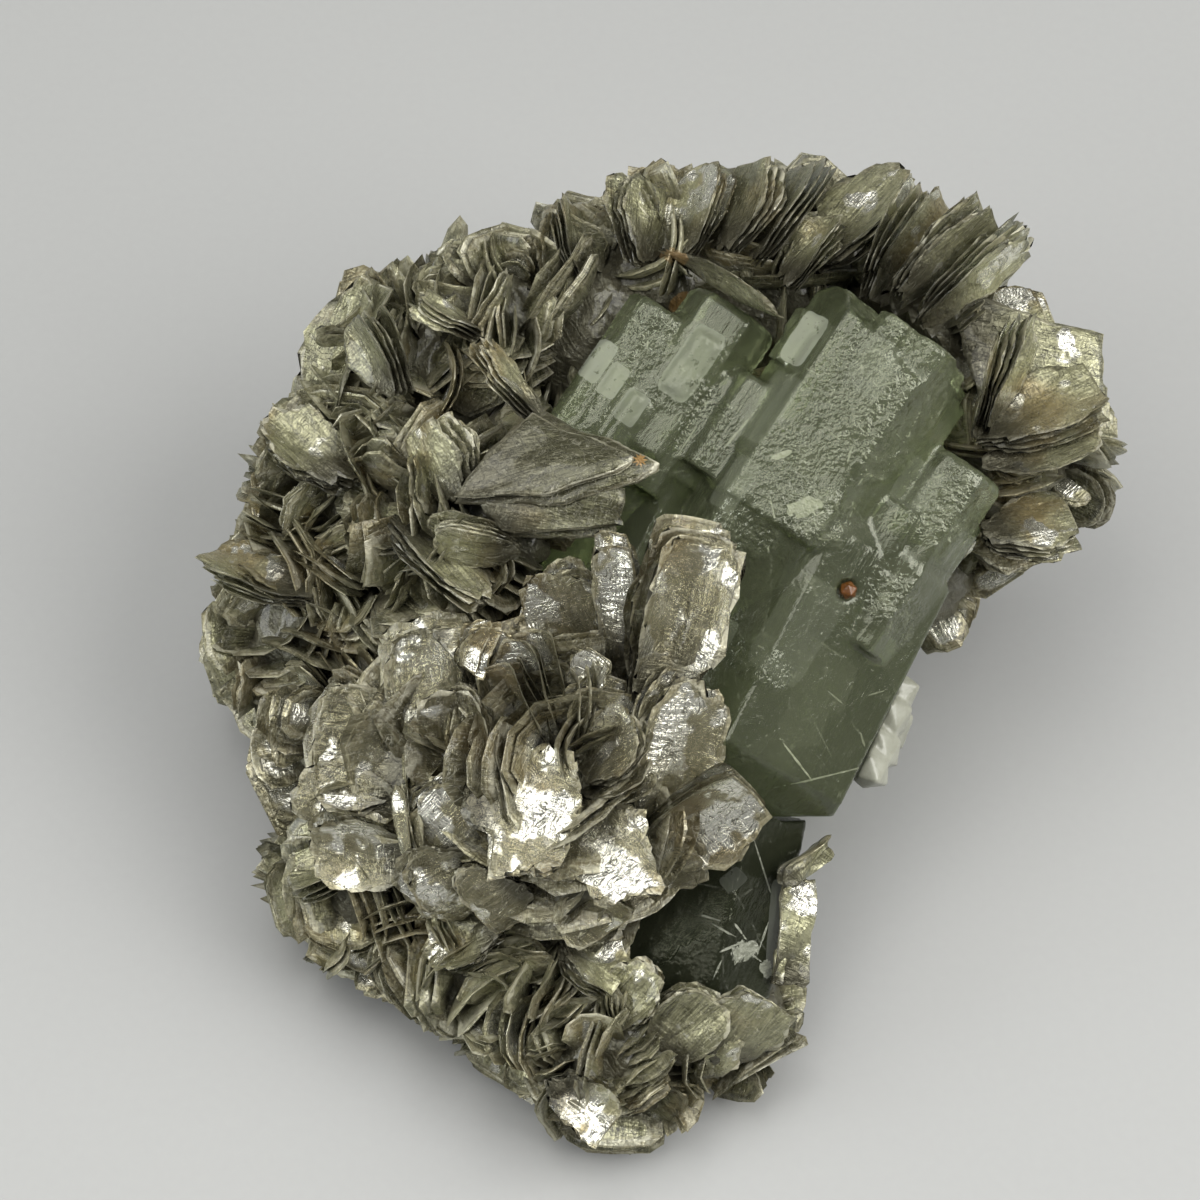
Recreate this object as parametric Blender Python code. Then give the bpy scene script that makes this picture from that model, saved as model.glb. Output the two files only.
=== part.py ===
"""Aquamarine on muscovite, a hand specimen.

Pale aquamarine prisms, grown side by side, stand in a mound of bladed muscovite. The muscovite is
a cluster of rosettes: each has a solid heart and flat six-sided books (blades) that radiate from
one seed point. Rosettes of different masses meet on flat growth boundaries.

Lengths are millimetres until a mesh is finished. Places on the specimen are given on its show
face: u to the right, v up the face and w outwards from it.
"""

from collections import namedtuple
import math

import bmesh
import bpy
from mathutils import Vector
import numpy as np

MM = 0.001

# The show face leans back, and its middle stands this far from the middle of the foot.
FACE_LEAN = math.radians(60.0)
FACE_CENTRE = np.array((-6.3, -1.0, 32.0))
FACE_RIGHT = np.array((1.0, 0.0, 0.0))
FACE_UP = np.array((0.0, math.sin(FACE_LEAN), math.cos(FACE_LEAN)))
FACE_OUT = np.array((0.0, -math.cos(FACE_LEAN), math.sin(FACE_LEAN)))

NEIGHBOUR_GAP = 0.4  # left open along a growth boundary
SOCKET_GAP = 0.4  # left open round a crystal where it sits in the muscovite
FLOOR_CLEARANCE = 0.6  # under everything but the base and the lower spray, which are cut flat
CRYSTAL_CLEARANCE = 1.2  # under the lower crystal
GOLDEN_TURN = math.pi * (3.0 - math.sqrt(5.0))
HEXAGON_FLAT = math.cos(math.radians(30.0))  # a hexagon's flat radius for a corner radius of 1

# Muscovite rosettes
#   mass    the solid that the rosette belongs to
#   centre  its seed point on the show face
#   reach   how far its blade tips stand from the seed
#   heart   radius of the solid middle
#   aim     the way the rosette faces
#   spread  the widest angle between a blade and the aim, in degrees
#   blades  how many large blades it has
#   wide    a blade's width
#   turn    0 for petals wrapped round the aim, 90 for books seen edge-on from the aim
Rosette = namedtuple("Rosette", "mass centre reach heart aim spread blades wide turn")

FRONT, BANK, CREST = "muscovite_front_rosette", "muscovite_left_bank", "muscovite_crest"
RIGHT, LOWER, BASE = "muscovite_right_books", "muscovite_lower_spray", "muscovite_base"

ROSETTES = [
    Rosette(FRONT, (-2.7, -17.6, -2.0), 20.5, 16.0, (0.12, 0.05, 1.0), 86, 20, 12.5, 12),
    Rosette(FRONT, (-23.6, -15.2, -9.0), 15.5, 12.0, (-0.6, 0.1, 0.8), 85, 10, 9.5, 12),
    Rosette(BANK, (-30.0, -3.2, -15.0), 15.5, 13.0, (-0.8, -0.1, 0.6), 96, 13, 8.0, 25),
    Rosette(BANK, (-24.4, 11.2, -15.0), 16.0, 13.6, (-0.7, 0.4, 0.7), 88, 11, 9.0, 50),
    Rosette(BANK, (-17.6, 23.0, -15.0), 16.5, 14.0, (-0.4, 0.7, 0.8), 88, 11, 9.0, 65),
    Rosette(BANK, (-9.6, 29.6, -11.0), 13.0, 10.5, (-0.1, 0.6, 0.8), 80, 8, 8.0, 75),
    Rosette(BANK, (-13.0, 8.6, -6.0), 16.0, 12.5, (-0.3, 0.1, 1.0), 80, 12, 8.5, 50),
    Rosette(CREST, (-1.0, 29.4, -14.0), 16.0, 13.5, (-0.2, 0.7, 0.8), 85, 10, 9.5, 70),
    Rosette(CREST, (8.0, 33.0, -14.0), 16.0, 13.5, (0.0, 0.8, 0.8), 85, 10, 10.0, 60),
    Rosette(CREST, (19.6, 32.6, -15.0), 18.0, 15.0, (0.1, 0.8, 0.7), 85, 13, 10.5, 45),
    Rosette(RIGHT, (32.4, 26.0, -14.0), 20.5, 14.5, (0.6, 0.7, 0.35), 62, 16, 8.5, 85),
    Rosette(RIGHT, (42.8, 17.2, -14.0), 15.5, 12.5, (0.8, -0.1, 0.6), 88, 12, 10.0, 70),
    Rosette(RIGHT, (33.0, 5.0, -17.0), 13.0, 11.0, (0.8, -0.6, 0.3), 80, 9, 8.0, 75),
    Rosette(LOWER, (-23.8, -29.3, -9.0), 13.2, 10.8, (-0.6, -0.4, 0.8), 92, 12, 9.0, 20),
    Rosette(LOWER, (-13.5, -36.5, -6.0), 12.5, 10.5, (-0.3, -0.7, 0.8), 85, 10, 9.0, 60),
    Rosette(LOWER, (-1.5, -38.0, -8.0), 11.5, 10.0, (-0.1, -0.3, 0.9), 80, 7, 8.0, 60),
    Rosette(LOWER, (1.6, -47.6, -2.0), 12.0, 10.0, (0.0, -0.7, 0.8), 92, 12, 8.5, 30),
    Rosette(LOWER, (12.6, -44.0, -6.0), 10.5, 8.8, (0.6, -0.6, 0.5), 85, 7, 8.0, 40),
    Rosette(BASE, (-17.0, 15.0, -33.0), 20.0, 17.0, (-0.5, 0.7, -0.6), 84, 10, 10.0, 35),
    Rosette(BASE, (15.0, 15.0, -33.0), 21.0, 18.0, (0.5, 0.6, -0.6), 84, 10, 10.0, 35),
    Rosette(BASE, (0.0, -2.0, -26.0), 25.0, 23.5, (0.0, -1.0, 0.0), 70, 0, 8.0, 35),
]

BLADE_THICK = 1.2
BLADE_LEAST = 5.0  # a blade with less room than this isn't grown
BLADE_ROOT = 0.62  # a blade starts at this share of the heart's radius
REACH_VARIES = 0.06
WIDTH_VARIES = 0.25
TURN_VARIES = 28.0  # degrees
HEART_ROUGH = 0.07
SHRINK_STEPS = (0.3, 0.4, 0.5, 0.6, 0.7, 0.8, 0.9, 1.0)

# A blade's outline as shares of its length and of its width: a six-sided plate, narrower at its foot.
BLADE_OUTLINE = np.array([(0.0, -0.32), (0.56, -0.50), (0.93, -0.27), (1.0, 0.14), (0.72, 0.48), (0.0, 0.32)])

# Single large books: the mass they grow from, foot and tip, width, the way their flat side faces,
# and thickness.
Book = namedtuple("Book", "mass foot tip wide facing thick")

BOOKS = [
    Book(FRONT, (4.0, -13.0, 6.0), (9.6, 9.6, 15.0), 9.6, (0.3, -0.2, 1.0), 1.3),
    Book(FRONT, (2.0, -9.0, 6.0), (1.2, 8.4, 14.0), 5.2, (-0.4, -0.1, 1.0), 1.1),
    Book(FRONT, (0.0, -11.0, 5.0), (-5.0, 3.4, 10.5), 10.5, (-0.2, 0.3, 1.0), 1.2),
    Book(FRONT, (3.0, -23.0, 8.0), (16.0, -18.6, 12.5), 9.5, (0.4, -0.7, 0.8), 1.6),
    Book(BANK, (-10.0, 7.0, 5.0), (2.6, 8.2, 11.5), 6.0, (0.1, 0.7, 0.7), 1.8),
    Book(CREST, (6.5, 36.5, -3.0), (18.2, 27.4, 9.6), 6.5, (0.75, 0.6, 0.25), 2.0),
    Book(RIGHT, (40.0, 18.0, -4.0), (52.6, 27.4, -1.0), 15.5, (-0.1, -0.1, 1.0), 2.2),
    Book(RIGHT, (38.0, 27.4, -6.0), (50.0, 29.8, -3.4), 8.0, (-0.2, 0.5, 1.0), 1.4),
    Book(LOWER, (18.6, -44.0, -8.0), (23.8, -23.6, -7.5), 4.6, (0.75, 0.0, 0.65), 1.8),
    Book(LOWER, (24.4, -25.0, -7.0), (18.8, -29.4, 2.4), 3.6, (0.5, -0.6, 0.6), 1.8),
]

# Sheets with an outline of their own: the mass, the corners and thickness.
Sheet = namedtuple("Sheet", "mass corners thick")

SHEETS = [
    Sheet(BANK, [(-15.4, 10.4, 4.5), (-6.0, 20.2, 0.5), (6.4, 13.6, 9.2), (-4.0, 9.6, 8.0)], 1.5),
]

# Aquamarine. Prisms of one growth share their long axis, given in degrees from the face's right,
# and roll, which turns their side faces about that axis. A prism's start and end are distances
# along the axis; across is its distance to the right of the growth's middle, and out its height
# above it.
Growth = namedtuple("Growth", "middle axis roll")
Prism = namedtuple("Prism", "start end across out radius growth")

GROUP_MIDDLE = (17.0, 4.2, 0.0)
STOUT = Growth(GROUP_MIDDLE, 63.0, -30.0)
FINGER = Growth(GROUP_MIDDLE, 56.0, -8.0)
LOW = Growth((12.2, -32.5, -4.5), 78.0, -20.0)
TIP_BEVEL = 0.16  # of a prism's radius
TIP_INSET = 0.13

MAIN_PRISMS = [
    Prism(-32.0, 8.6, 5.2, -6.0, 16.2, STOUT),
    Prism(-18.0, 14.0, -12.0, -7.0, 10.0, STOUT),
    Prism(3.5, 28.6, -1.0, 2.0, 10.2, FINGER),
    Prism(10.0, 27.4, 5.4, 2.8, 3.6, FINGER),
    Prism(18.0, 24.4, -9.2, 4.4, 2.4, FINGER),
    Prism(6.0, 20.4, 12.4, 2.2, 4.7, FINGER),
    Prism(-2.0, 9.0, 12.4, 1.8, 5.4, FINGER),
    Prism(2.5, 20.6, -17.0, -0.4, 5.4, FINGER),
    Prism(9.4, 16.4, -17.4, 2.6, 2.6, FINGER),
    Prism(2.0, 14.0, -12.0, 0.0, 4.0, FINGER),
    Prism(-2.0, 16.4, -23.0, -0.6, 4.4, FINGER),
    Prism(-1.0, 10.2, -25.2, 1.2, 2.1, FINGER),
    Prism(-1.0, 8.9, -22.8, 2.2, 1.8, FINGER),
    Prism(-1.0, 7.4, -19.8, 2.4, 2.2, FINGER),
]
LOWER_PRISMS = [
    Prism(-12.0, 14.0, 0.0, 0.0, 8.4, LOW),
    Prism(-9.0, 12.0, -4.6, 1.4, 5.2, LOW),
]

# The main group's lower end is broken off, with a narrow slope above the break: the way each face
# looks and a point on it.
BROKEN_END = [
    ((0.0, -1.0, 0.0), (0.0, -23.0, 0.0)),
    ((0.0, -0.75, 0.65), (25.0, -20.0, 4.0)),
]

# A grain of orange garnet sits in a pit on the main group.
GARNET_PLACE = (25.7, 1.0, 8.0)
GARNET_RADIUS = 1.1
PIT_GAP = 0.3

# Pale blocky albite grew as one crust on the main group's right flank: place and size of each lump.
ALBITE_LUMPS = [
    ((28.8, -18.0, -4.0), 2.7),
    ((29.9, -15.8, -6.2), 3.2),
    ((31.0, -12.4, -7.0), 3.2),
    ((32.0, -10.0, -8.0), 2.8),
    ((30.4, -13.6, -9.8), 3.8),
]
ALBITE_ROUGH = 0.12

# Colour, roughness and transmission of each solid.
FINISHES = {
    FRONT: ((0.26, 0.25, 0.20), 0.30, 0.0),
    BANK: ((0.21, 0.20, 0.15), 0.38, 0.0),
    CREST: ((0.19, 0.18, 0.13), 0.36, 0.0),
    RIGHT: ((0.23, 0.21, 0.14), 0.36, 0.0),
    LOWER: ((0.24, 0.21, 0.13), 0.38, 0.0),
    BASE: ((0.17, 0.16, 0.12), 0.45, 0.0),
    "aquamarine_main": ((0.36, 0.42, 0.34), 0.10, 0.85),
    "aquamarine_lower": ((0.20, 0.24, 0.16), 0.08, 0.85),
    "albite": ((0.66, 0.65, 0.59), 0.50, 0.0),
    "garnet_grain": ((0.42, 0.11, 0.02), 0.15, 0.0),
}


# ---- places and directions -----------------------------------------------------------------
def on_face(u, v, w):
    """The place of a point on the show face."""
    return FACE_CENTRE + u * FACE_RIGHT + v * FACE_UP + w * FACE_OUT


def way(u, v, w):
    """A unit direction given on the show face."""
    direction = u * FACE_RIGHT + v * FACE_UP + w * FACE_OUT
    return direction / np.linalg.norm(direction)


def unit(rows):
    return rows / np.linalg.norm(rows, axis=-1, keepdims=True)


def shake(count, salt):
    """Repeatable irregularity: one number from -1 to 1 for each of count blades."""
    mixed = np.sin((np.arange(count) + 1.0) * 12.9898 + salt * 78.233) * 43758.5453
    return 2.0 * (mixed - np.floor(mixed)) - 1.0


# ---- room: the cell of each rosette, and the crystals --------------------------------------
def cell_planes(index):
    """Half-spaces that hold a rosette, as (outward normal, distance), from the floor and from its
    neighbours in other masses. A boundary lies where both seeds' spheres have equal power."""
    rosette = ROSETTES[index]
    seed = on_face(*rosette.centre)
    floor_level = 0.0 if rosette.mass in (BASE, LOWER) else FLOOR_CLEARANCE
    planes = [(np.array((0.0, 0.0, -1.0)), -floor_level)]
    for other in ROSETTES:
        if other.mass == rosette.mass:
            continue
        across = on_face(*other.centre) - seed
        apart = np.linalg.norm(across)
        if apart > rosette.reach + other.reach:
            continue
        normal = across / apart
        from_seed = (apart**2 + rosette.reach**2 - other.reach**2) / (2.0 * apart)
        planes.append((normal, seed @ normal + from_seed - NEIGHBOUR_GAP / 2.0))
    return planes


def prism_frame(prism):
    """A prism's middle, and its along, across and out directions."""
    angle, roll = math.radians(prism.growth.axis), math.radians(prism.growth.roll)
    along = way(math.cos(angle), math.sin(angle), 0.0)
    level = way(math.sin(angle), -math.cos(angle), 0.0)
    upright = way(0.0, 0.0, 1.0)
    middle = on_face(*prism.growth.middle) + prism.across * level + prism.out * upright
    across = math.cos(roll) * level - math.sin(roll) * upright
    out = math.cos(roll) * upright + math.sin(roll) * level
    return middle, along, across, out


def inside_crystals(points, margin):
    """Which points lie in a crystal or within margin of it."""
    held = np.zeros(points.shape[:-1], bool)
    for prism in MAIN_PRISMS + LOWER_PRISMS:
        middle, along, across, out = prism_frame(prism)
        offset = points - middle
        inside = (offset @ along > prism.start - margin) & (offset @ along < prism.end + margin)
        for k in range(6):
            turned = math.radians(60.0 * k)
            side = math.cos(turned) * out + math.sin(turned) * across
            inside &= offset @ side < prism.radius * HEXAGON_FLAT + margin
        held |= inside
    return held


# ---- blades --------------------------------------------------------------------------------
def rosette_blades(index):
    """Foot, length direction, width direction, length and width of each blade of a rosette.
    The blades spread evenly over a cap of a sphere, each a golden turn on from the last."""
    rosette = ROSETTES[index]
    count = rosette.blades
    order = np.arange(count)
    aim = way(*rosette.aim)
    first = unit(np.cross(aim, FACE_UP + FACE_RIGHT))
    second = np.cross(aim, first)
    cap = 1.0 - math.cos(math.radians(rosette.spread))
    tilt = np.arccos(1.0 - cap * (order + 0.4) / max(count, 1)) + 0.09 * shake(count, index)
    bearing = GOLDEN_TURN * order + 0.25 * shake(count, index + 20)
    radial = np.cos(bearing)[:, None] * first + np.sin(bearing)[:, None] * second
    along = np.cos(tilt)[:, None] * aim + np.sin(tilt)[:, None] * radial
    petal = unit(np.cross(aim, along))
    upright = np.cross(along, petal)
    turn = np.radians(rosette.turn + TURN_VARIES * shake(count, index + 40))
    wide = np.cos(turn)[:, None] * petal + np.sin(turn)[:, None] * upright
    root = BLADE_ROOT * rosette.heart
    foot = on_face(*rosette.centre) + along * root
    length = rosette.reach * (1.0 + REACH_VARIES * shake(count, index + 60)) - root
    width = rosette.wide * (1.0 + WIDTH_VARIES * shake(count, index + 80))
    return foot, along, wide, length, width


def outline_points(foot, along, wide, length, width):
    """Corner points of every blade, one row per blade."""
    s = BLADE_OUTLINE[:, 0][None, :, None]
    t = BLADE_OUTLINE[:, 1][None, :, None]
    return foot[:, None] + s * (length[:, None] * along)[:, None] + t * (width[:, None] * wide)[:, None]


def room_in_cell(foot, along, wide, length, width, planes):
    """The largest share of each blade's size that keeps it inside its cell."""
    share = np.ones(len(foot))
    flat = np.cross(along, wide)
    corners = outline_points(foot, along, wide, length, width) - foot[:, None]
    for normal, distance in planes:
        room = distance - foot @ normal - 0.5 * BLADE_THICK * np.abs(flat @ normal)
        most = (corners @ normal).max(axis=1)
        share = np.minimum(share, np.where(most > 1e-6, room / np.maximum(most, 1e-6), 1.0))
    return np.clip(share, 0.0, 1.0)


def room_by_crystals(foot, along, wide, length, width, share):
    """The largest of a few steps of the share that keeps a blade out of the crystals, or 0."""
    best = np.zeros(len(foot))
    for step in SHRINK_STEPS:
        size = share * step
        corners = outline_points(foot, along, wide, length * size, width * size)
        middle = corners.mean(axis=1, keepdims=True)
        samples = np.concatenate([corners, 0.5 * (corners + middle), middle], axis=1)
        touches = inside_crystals(samples, SOCKET_GAP + 0.5 * BLADE_THICK).any(axis=1)
        best = np.where(touches, best, size)
    return best


# ---- meshes --------------------------------------------------------------------------------
def finished(name, work):
    """An object from a mesh in millimetres, with its faces turned outwards."""
    bmesh.ops.recalc_face_normals(work, faces=work.faces)
    bmesh.ops.scale(work, vec=(MM, MM, MM), verts=work.verts)
    mesh = bpy.data.meshes.new(name)
    work.to_mesh(mesh)
    work.free()
    made = bpy.data.objects.new(name, mesh)
    bpy.context.scene.collection.objects.link(made)
    return made


def plate(name, corners, thick):
    """A flat closed plate on its corner points."""
    flat = unit(np.cross(corners[1] - corners[0], corners[2] - corners[0]))
    corners = corners - ((corners - corners[0]) @ flat)[:, None] * flat
    work = bmesh.new()
    face = work.faces.new([work.verts.new(corner - 0.5 * thick * flat) for corner in corners])
    swept = bmesh.ops.extrude_face_region(work, geom=[face], use_keep_orig=True)
    raised = [piece for piece in swept["geom"] if isinstance(piece, bmesh.types.BMVert)]
    bmesh.ops.translate(work, vec=Vector(thick * flat), verts=raised)
    return finished(name, work)


def cut_by_planes(work, planes):
    """Cuts a closed convex mesh by half-spaces and closes each cut."""
    for normal, distance in planes:
        cut = bmesh.ops.bisect_plane(
            work,
            geom=work.verts[:] + work.edges[:] + work.faces[:],
            dist=1e-4,
            plane_co=Vector(normal * distance),
            plane_no=Vector(normal),
            clear_outer=True,
        )
        rim = [piece for piece in cut["geom_cut"] if isinstance(piece, bmesh.types.BMEdge)]
        if rim:
            bmesh.ops.holes_fill(work, edges=rim)


def lump(name, place, radius, rough, planes=(), detail=1, seed=0):
    """An uneven faceted ball, cut by planes."""
    work = bmesh.new()
    bmesh.ops.create_icosphere(work, subdivisions=detail, radius=radius)
    for number, vertex in enumerate(work.verts):
        vertex.co = Vector(place) + vertex.co * (1.0 + rough * math.sin(2.3 * number + seed))
    cut_by_planes(work, planes)
    return finished(name, work)


def six_sided(name, prism, planes, grow):
    """A six-sided crystal with a narrow bevel round its flat tip."""
    middle, along, across, out = prism_frame(prism)
    radius = prism.radius + grow / HEXAGON_FLAT
    rings = [
        (prism.start - grow, radius),
        (prism.end + grow - TIP_BEVEL * prism.radius, radius),
        (prism.end + grow, radius - TIP_INSET * prism.radius),
    ]
    work = bmesh.new()
    loops = []
    for height, size in rings:
        loop = []
        for k in range(6):
            turned = math.radians(60.0 * k + 30.0)
            sideways = math.cos(turned) * out + math.sin(turned) * across
            loop.append(work.verts.new(middle + height * along + size * sideways))
        loops.append(loop)
    work.faces.new(loops[0])
    work.faces.new(loops[-1][::-1])
    for low, high in zip(loops, loops[1:]):
        for k in range(6):
            after = (k + 1) % 6
            work.faces.new([low[k], high[k], high[after], low[after]])
    cut_by_planes(work, [(normal, distance + grow) for normal, distance in planes])
    return finished(name, work)


def as_helper(made):
    """Hides an object that only joins or cuts others."""
    made.hide_render = True
    made.display_type = "WIRE"
    return made


def fuse(first, others):
    """Joins the others into the first with one Boolean union."""
    group = bpy.data.collections.new(first.name + "_grown_on")
    bpy.context.scene.collection.children.link(group)
    group.hide_render = True
    for other in others:
        bpy.context.scene.collection.objects.unlink(other)
        group.objects.link(as_helper(other))
    join = first.modifiers.new("grown together", "BOOLEAN")
    join.operation = "UNION"
    join.solver = "EXACT"
    join.operand_type = "COLLECTION"
    join.collection = group


def carve(made, cutter):
    cut = made.modifiers.new("socket", "BOOLEAN")
    cut.operation = "DIFFERENCE"
    cut.solver = "EXACT"
    cut.object = cutter


def give_finish(made):
    """The solid's own material, with the same colour in the viewport."""
    colour, roughness, transmission = FINISHES[made.name]
    material = bpy.data.materials.new(made.name)
    material.use_nodes = True
    shader = material.node_tree.nodes["Principled BSDF"]
    shader.inputs["Base Color"].default_value = (*colour, 1.0)
    shader.inputs["Roughness"].default_value = roughness
    shader.inputs["Metallic"].default_value = 0.0
    shader.inputs["Transmission Weight"].default_value = transmission
    material.diffuse_color = (*colour, 1.0)
    made.data.materials.append(material)


# ---- the specimen's pieces -----------------------------------------------------------------
def crystal_group(name, prisms, planes, grow=0.0):
    """Prisms grown together in one solid."""
    made = [six_sided(f"{name}_{k}", prism, planes, grow) for k, prism in enumerate(prisms)]
    made[0].name = name
    fuse(made[0], made[1:])
    return made[0]


def rosette_pieces(index):
    """A rosette's heart and blades, still separate."""
    rosette = ROSETTES[index]
    planes = cell_planes(index)
    name = f"{rosette.mass}_{index}"
    seed = on_face(*rosette.centre)
    pieces = [lump(f"{name}_heart", seed, rosette.heart, HEART_ROUGH, planes, detail=2, seed=index)]
    if rosette.blades:
        foot, along, wide, length, width = rosette_blades(index)
        share = room_in_cell(foot, along, wide, length, width, planes)
        share = room_by_crystals(foot, along, wide, length, width, share)
        corners = outline_points(foot, along, wide, length * share, width * share)
        for k in np.flatnonzero(length * share > BLADE_LEAST):
            pieces.append(plate(f"{name}_blade_{k}", corners[k], BLADE_THICK))
    return pieces


def single_book(name, book):
    foot, tip = on_face(*book.foot), on_face(*book.tip)
    along = tip - foot
    wide = unit(np.cross(way(*book.facing), along))
    corners = foot + BLADE_OUTLINE[:, :1] * along + BLADE_OUTLINE[:, 1:] * book.wide * wide
    return plate(name, corners, book.thick)


def build_muscovite(mass, sockets):
    """One mass of muscovite: its rosettes, single books and sheets, grown together."""
    pieces = []
    for index, rosette in enumerate(ROSETTES):
        if rosette.mass == mass:
            pieces += rosette_pieces(index)
    for k, book in enumerate(BOOKS):
        if book.mass == mass:
            pieces.append(single_book(f"{mass}_book_{k}", book))
    for k, sheet in enumerate(SHEETS):
        if sheet.mass == mass:
            corners = np.array([on_face(*corner) for corner in sheet.corners])
            pieces.append(plate(f"{mass}_sheet_{k}", corners, sheet.thick))
    body = pieces[0]
    body.name = mass
    fuse(body, pieces[1:])
    for socket in sockets:
        carve(body, socket)
    give_finish(body)


def build_aquamarine():
    """Both crystal groups. Returns the cutters that carve their sockets in what surrounds them."""
    broken = [(way(*facing), on_face(*point) @ way(*facing)) for facing, point in BROKEN_END]
    floor = [(np.array((0.0, 0.0, -1.0)), -CRYSTAL_CLEARANCE)]
    main_group = crystal_group("aquamarine_main", MAIN_PRISMS, broken)
    lower_group = crystal_group("aquamarine_lower", LOWER_PRISMS, floor)
    main_socket = as_helper(crystal_group("main_socket", MAIN_PRISMS, broken, SOCKET_GAP))
    lower_socket = as_helper(crystal_group("lower_socket", LOWER_PRISMS, floor, SOCKET_GAP))
    carve(lower_group, main_socket)
    pit = lump("garnet_pit", on_face(*GARNET_PLACE), GARNET_RADIUS + PIT_GAP, 0.0)
    carve(main_group, as_helper(pit))
    give_finish(main_group)
    give_finish(lower_group)
    return [main_socket, lower_socket]


def build_garnet():
    give_finish(lump("garnet_grain", on_face(*GARNET_PLACE), GARNET_RADIUS, 0.0))


def build_albite(sockets):
    lumps = [
        lump(f"albite_{k}", on_face(*place), size, ALBITE_ROUGH, seed=k)
        for k, (place, size) in enumerate(ALBITE_LUMPS)
    ]
    lumps[0].name = "albite"
    fuse(lumps[0], lumps[1:])
    for socket in sockets:
        carve(lumps[0], socket)
    give_finish(lumps[0])


def main():
    for old in list(bpy.data.objects):
        bpy.data.objects.remove(old)
    sockets = build_aquamarine()
    build_garnet()
    build_albite(sockets)
    for mass in (FRONT, BANK, CREST, RIGHT, LOWER, BASE):
        build_muscovite(mass, sockets)


main()
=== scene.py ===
import math
import bmesh
import bpy
import numpy as np
from mathutils import Matrix, Vector


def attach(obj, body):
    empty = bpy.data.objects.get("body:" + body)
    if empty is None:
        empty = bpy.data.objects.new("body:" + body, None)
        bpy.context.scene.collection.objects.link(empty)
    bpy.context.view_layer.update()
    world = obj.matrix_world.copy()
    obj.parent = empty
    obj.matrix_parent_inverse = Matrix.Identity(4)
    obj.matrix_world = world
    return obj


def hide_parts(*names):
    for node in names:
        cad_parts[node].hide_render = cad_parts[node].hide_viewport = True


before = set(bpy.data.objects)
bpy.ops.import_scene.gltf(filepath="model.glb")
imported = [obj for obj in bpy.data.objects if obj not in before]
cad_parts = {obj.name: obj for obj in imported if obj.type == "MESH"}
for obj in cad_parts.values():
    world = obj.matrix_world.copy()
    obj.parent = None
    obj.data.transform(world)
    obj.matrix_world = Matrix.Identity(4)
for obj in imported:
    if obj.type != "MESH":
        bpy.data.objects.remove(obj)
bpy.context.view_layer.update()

print("frame loaded:", len(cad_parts), "solids")

mm = 0.001
goldenTurn = math.pi * (3.0 - math.sqrt(5.0))

# the show face leans back: u to its right, v up it, w outwards, all in mm
faceLean = math.radians(60.0)
faceCentre = np.array((-6.3, -1.0, 32.0))
faceAxes = np.array((
    (1.0, 0.0, 0.0),
    (0.0, math.sin(faceLean), math.cos(faceLean)),
    (0.0, -math.cos(faceLean), math.sin(faceLean)),
))


def onFace(place):
    return faceCentre + np.asarray(place, float) @ faceAxes


def unit(rows):
    return rows / np.linalg.norm(rows, axis=-1, keepdims=True)


def toward(direction):
    return unit(np.asarray(direction, float) @ faceAxes)


def shake(count, salt):
    # repeatable irregularity from -1 to 1, the same numbers as the solids are made with
    mixed = np.sin((np.arange(count) + 1.0) * 12.9898 + salt * 78.233) * 43758.5453
    return 2.0 * (mixed - np.floor(mixed)) - 1.0


# camera, floor and light
view = {"distance": 350.0, "mmPerPixel": 0.106, "pixels": 1200, "sensor": 36.0}
studio = {
    "floorColour": (0.30, 0.303, 0.297),
    "floorHalf": 1.6,  # metres
    "world": 0.20,
    "worldColour": (0.96, 0.98, 1.0),
    # place and target on the show face in mm, size in m, watts, colour
    "key": ((-330.0, 300.0, 620.0), (0.0, 0.0, 0.0), 0.62, 4.0, (1.0, 0.985, 0.95)),
    "overhead": ((100.0, 760.0, 900.0), (0.0, 0.0, 0.0), 0.9, 5.0, (1.0, 1.0, 1.0)),
    "left": ((-620.0, -60.0, 260.0), (-60.0, 0.0, 0.0), 0.35, 3.0, (0.97, 0.99, 1.0)),
    "right": ((520.0, 160.0, 480.0), (30.0, 0.0, 0.0), 0.6, 7.5, (1.0, 0.99, 0.97)),
}


def makeCamera():
    data = bpy.data.cameras.new("photoView")
    data.sensor_width = view["sensor"]
    wide = view["pixels"] * view["mmPerPixel"]
    data.lens = view["sensor"] * view["distance"] / wide
    data.clip_start, data.clip_end = 0.01, 20.0
    camera = bpy.data.objects.new("photoView", data)
    turn = Matrix([list(row) for row in faceAxes]).transposed().to_4x4()
    camera.matrix_world = Matrix.Translation(Vector(onFace((0, 0, view["distance"])) * mm)) @ turn
    bpy.context.scene.collection.objects.link(camera)
    bpy.context.scene.camera = camera


def makeLight(name, place, target, size, watts, colour):
    data = bpy.data.lights.new(name, "AREA")
    data.shape = "SQUARE"
    data.size, data.energy, data.color = size, watts, colour
    light = bpy.data.objects.new(name, data)
    start, end = Vector(onFace(place) * mm), Vector(onFace(target) * mm)
    light.matrix_world = Matrix.Translation(start) @ (end - start).to_track_quat("-Z", "Y").to_matrix().to_4x4()
    bpy.context.scene.collection.objects.link(light)


makeCamera()
for lightName in ("key", "overhead", "left", "right"):
    makeLight(lightName + "Light", *studio[lightName])
world = bpy.data.worlds.new("softRoom")
world.use_nodes = True
world.node_tree.nodes["Background"].inputs["Color"].default_value = (*studio["worldColour"], 1.0)
world.node_tree.nodes["Background"].inputs["Strength"].default_value = studio["world"]
bpy.context.scene.world = world
bpy.context.scene.view_settings.view_transform = "Standard"
print("camera and lights ready")


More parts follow.
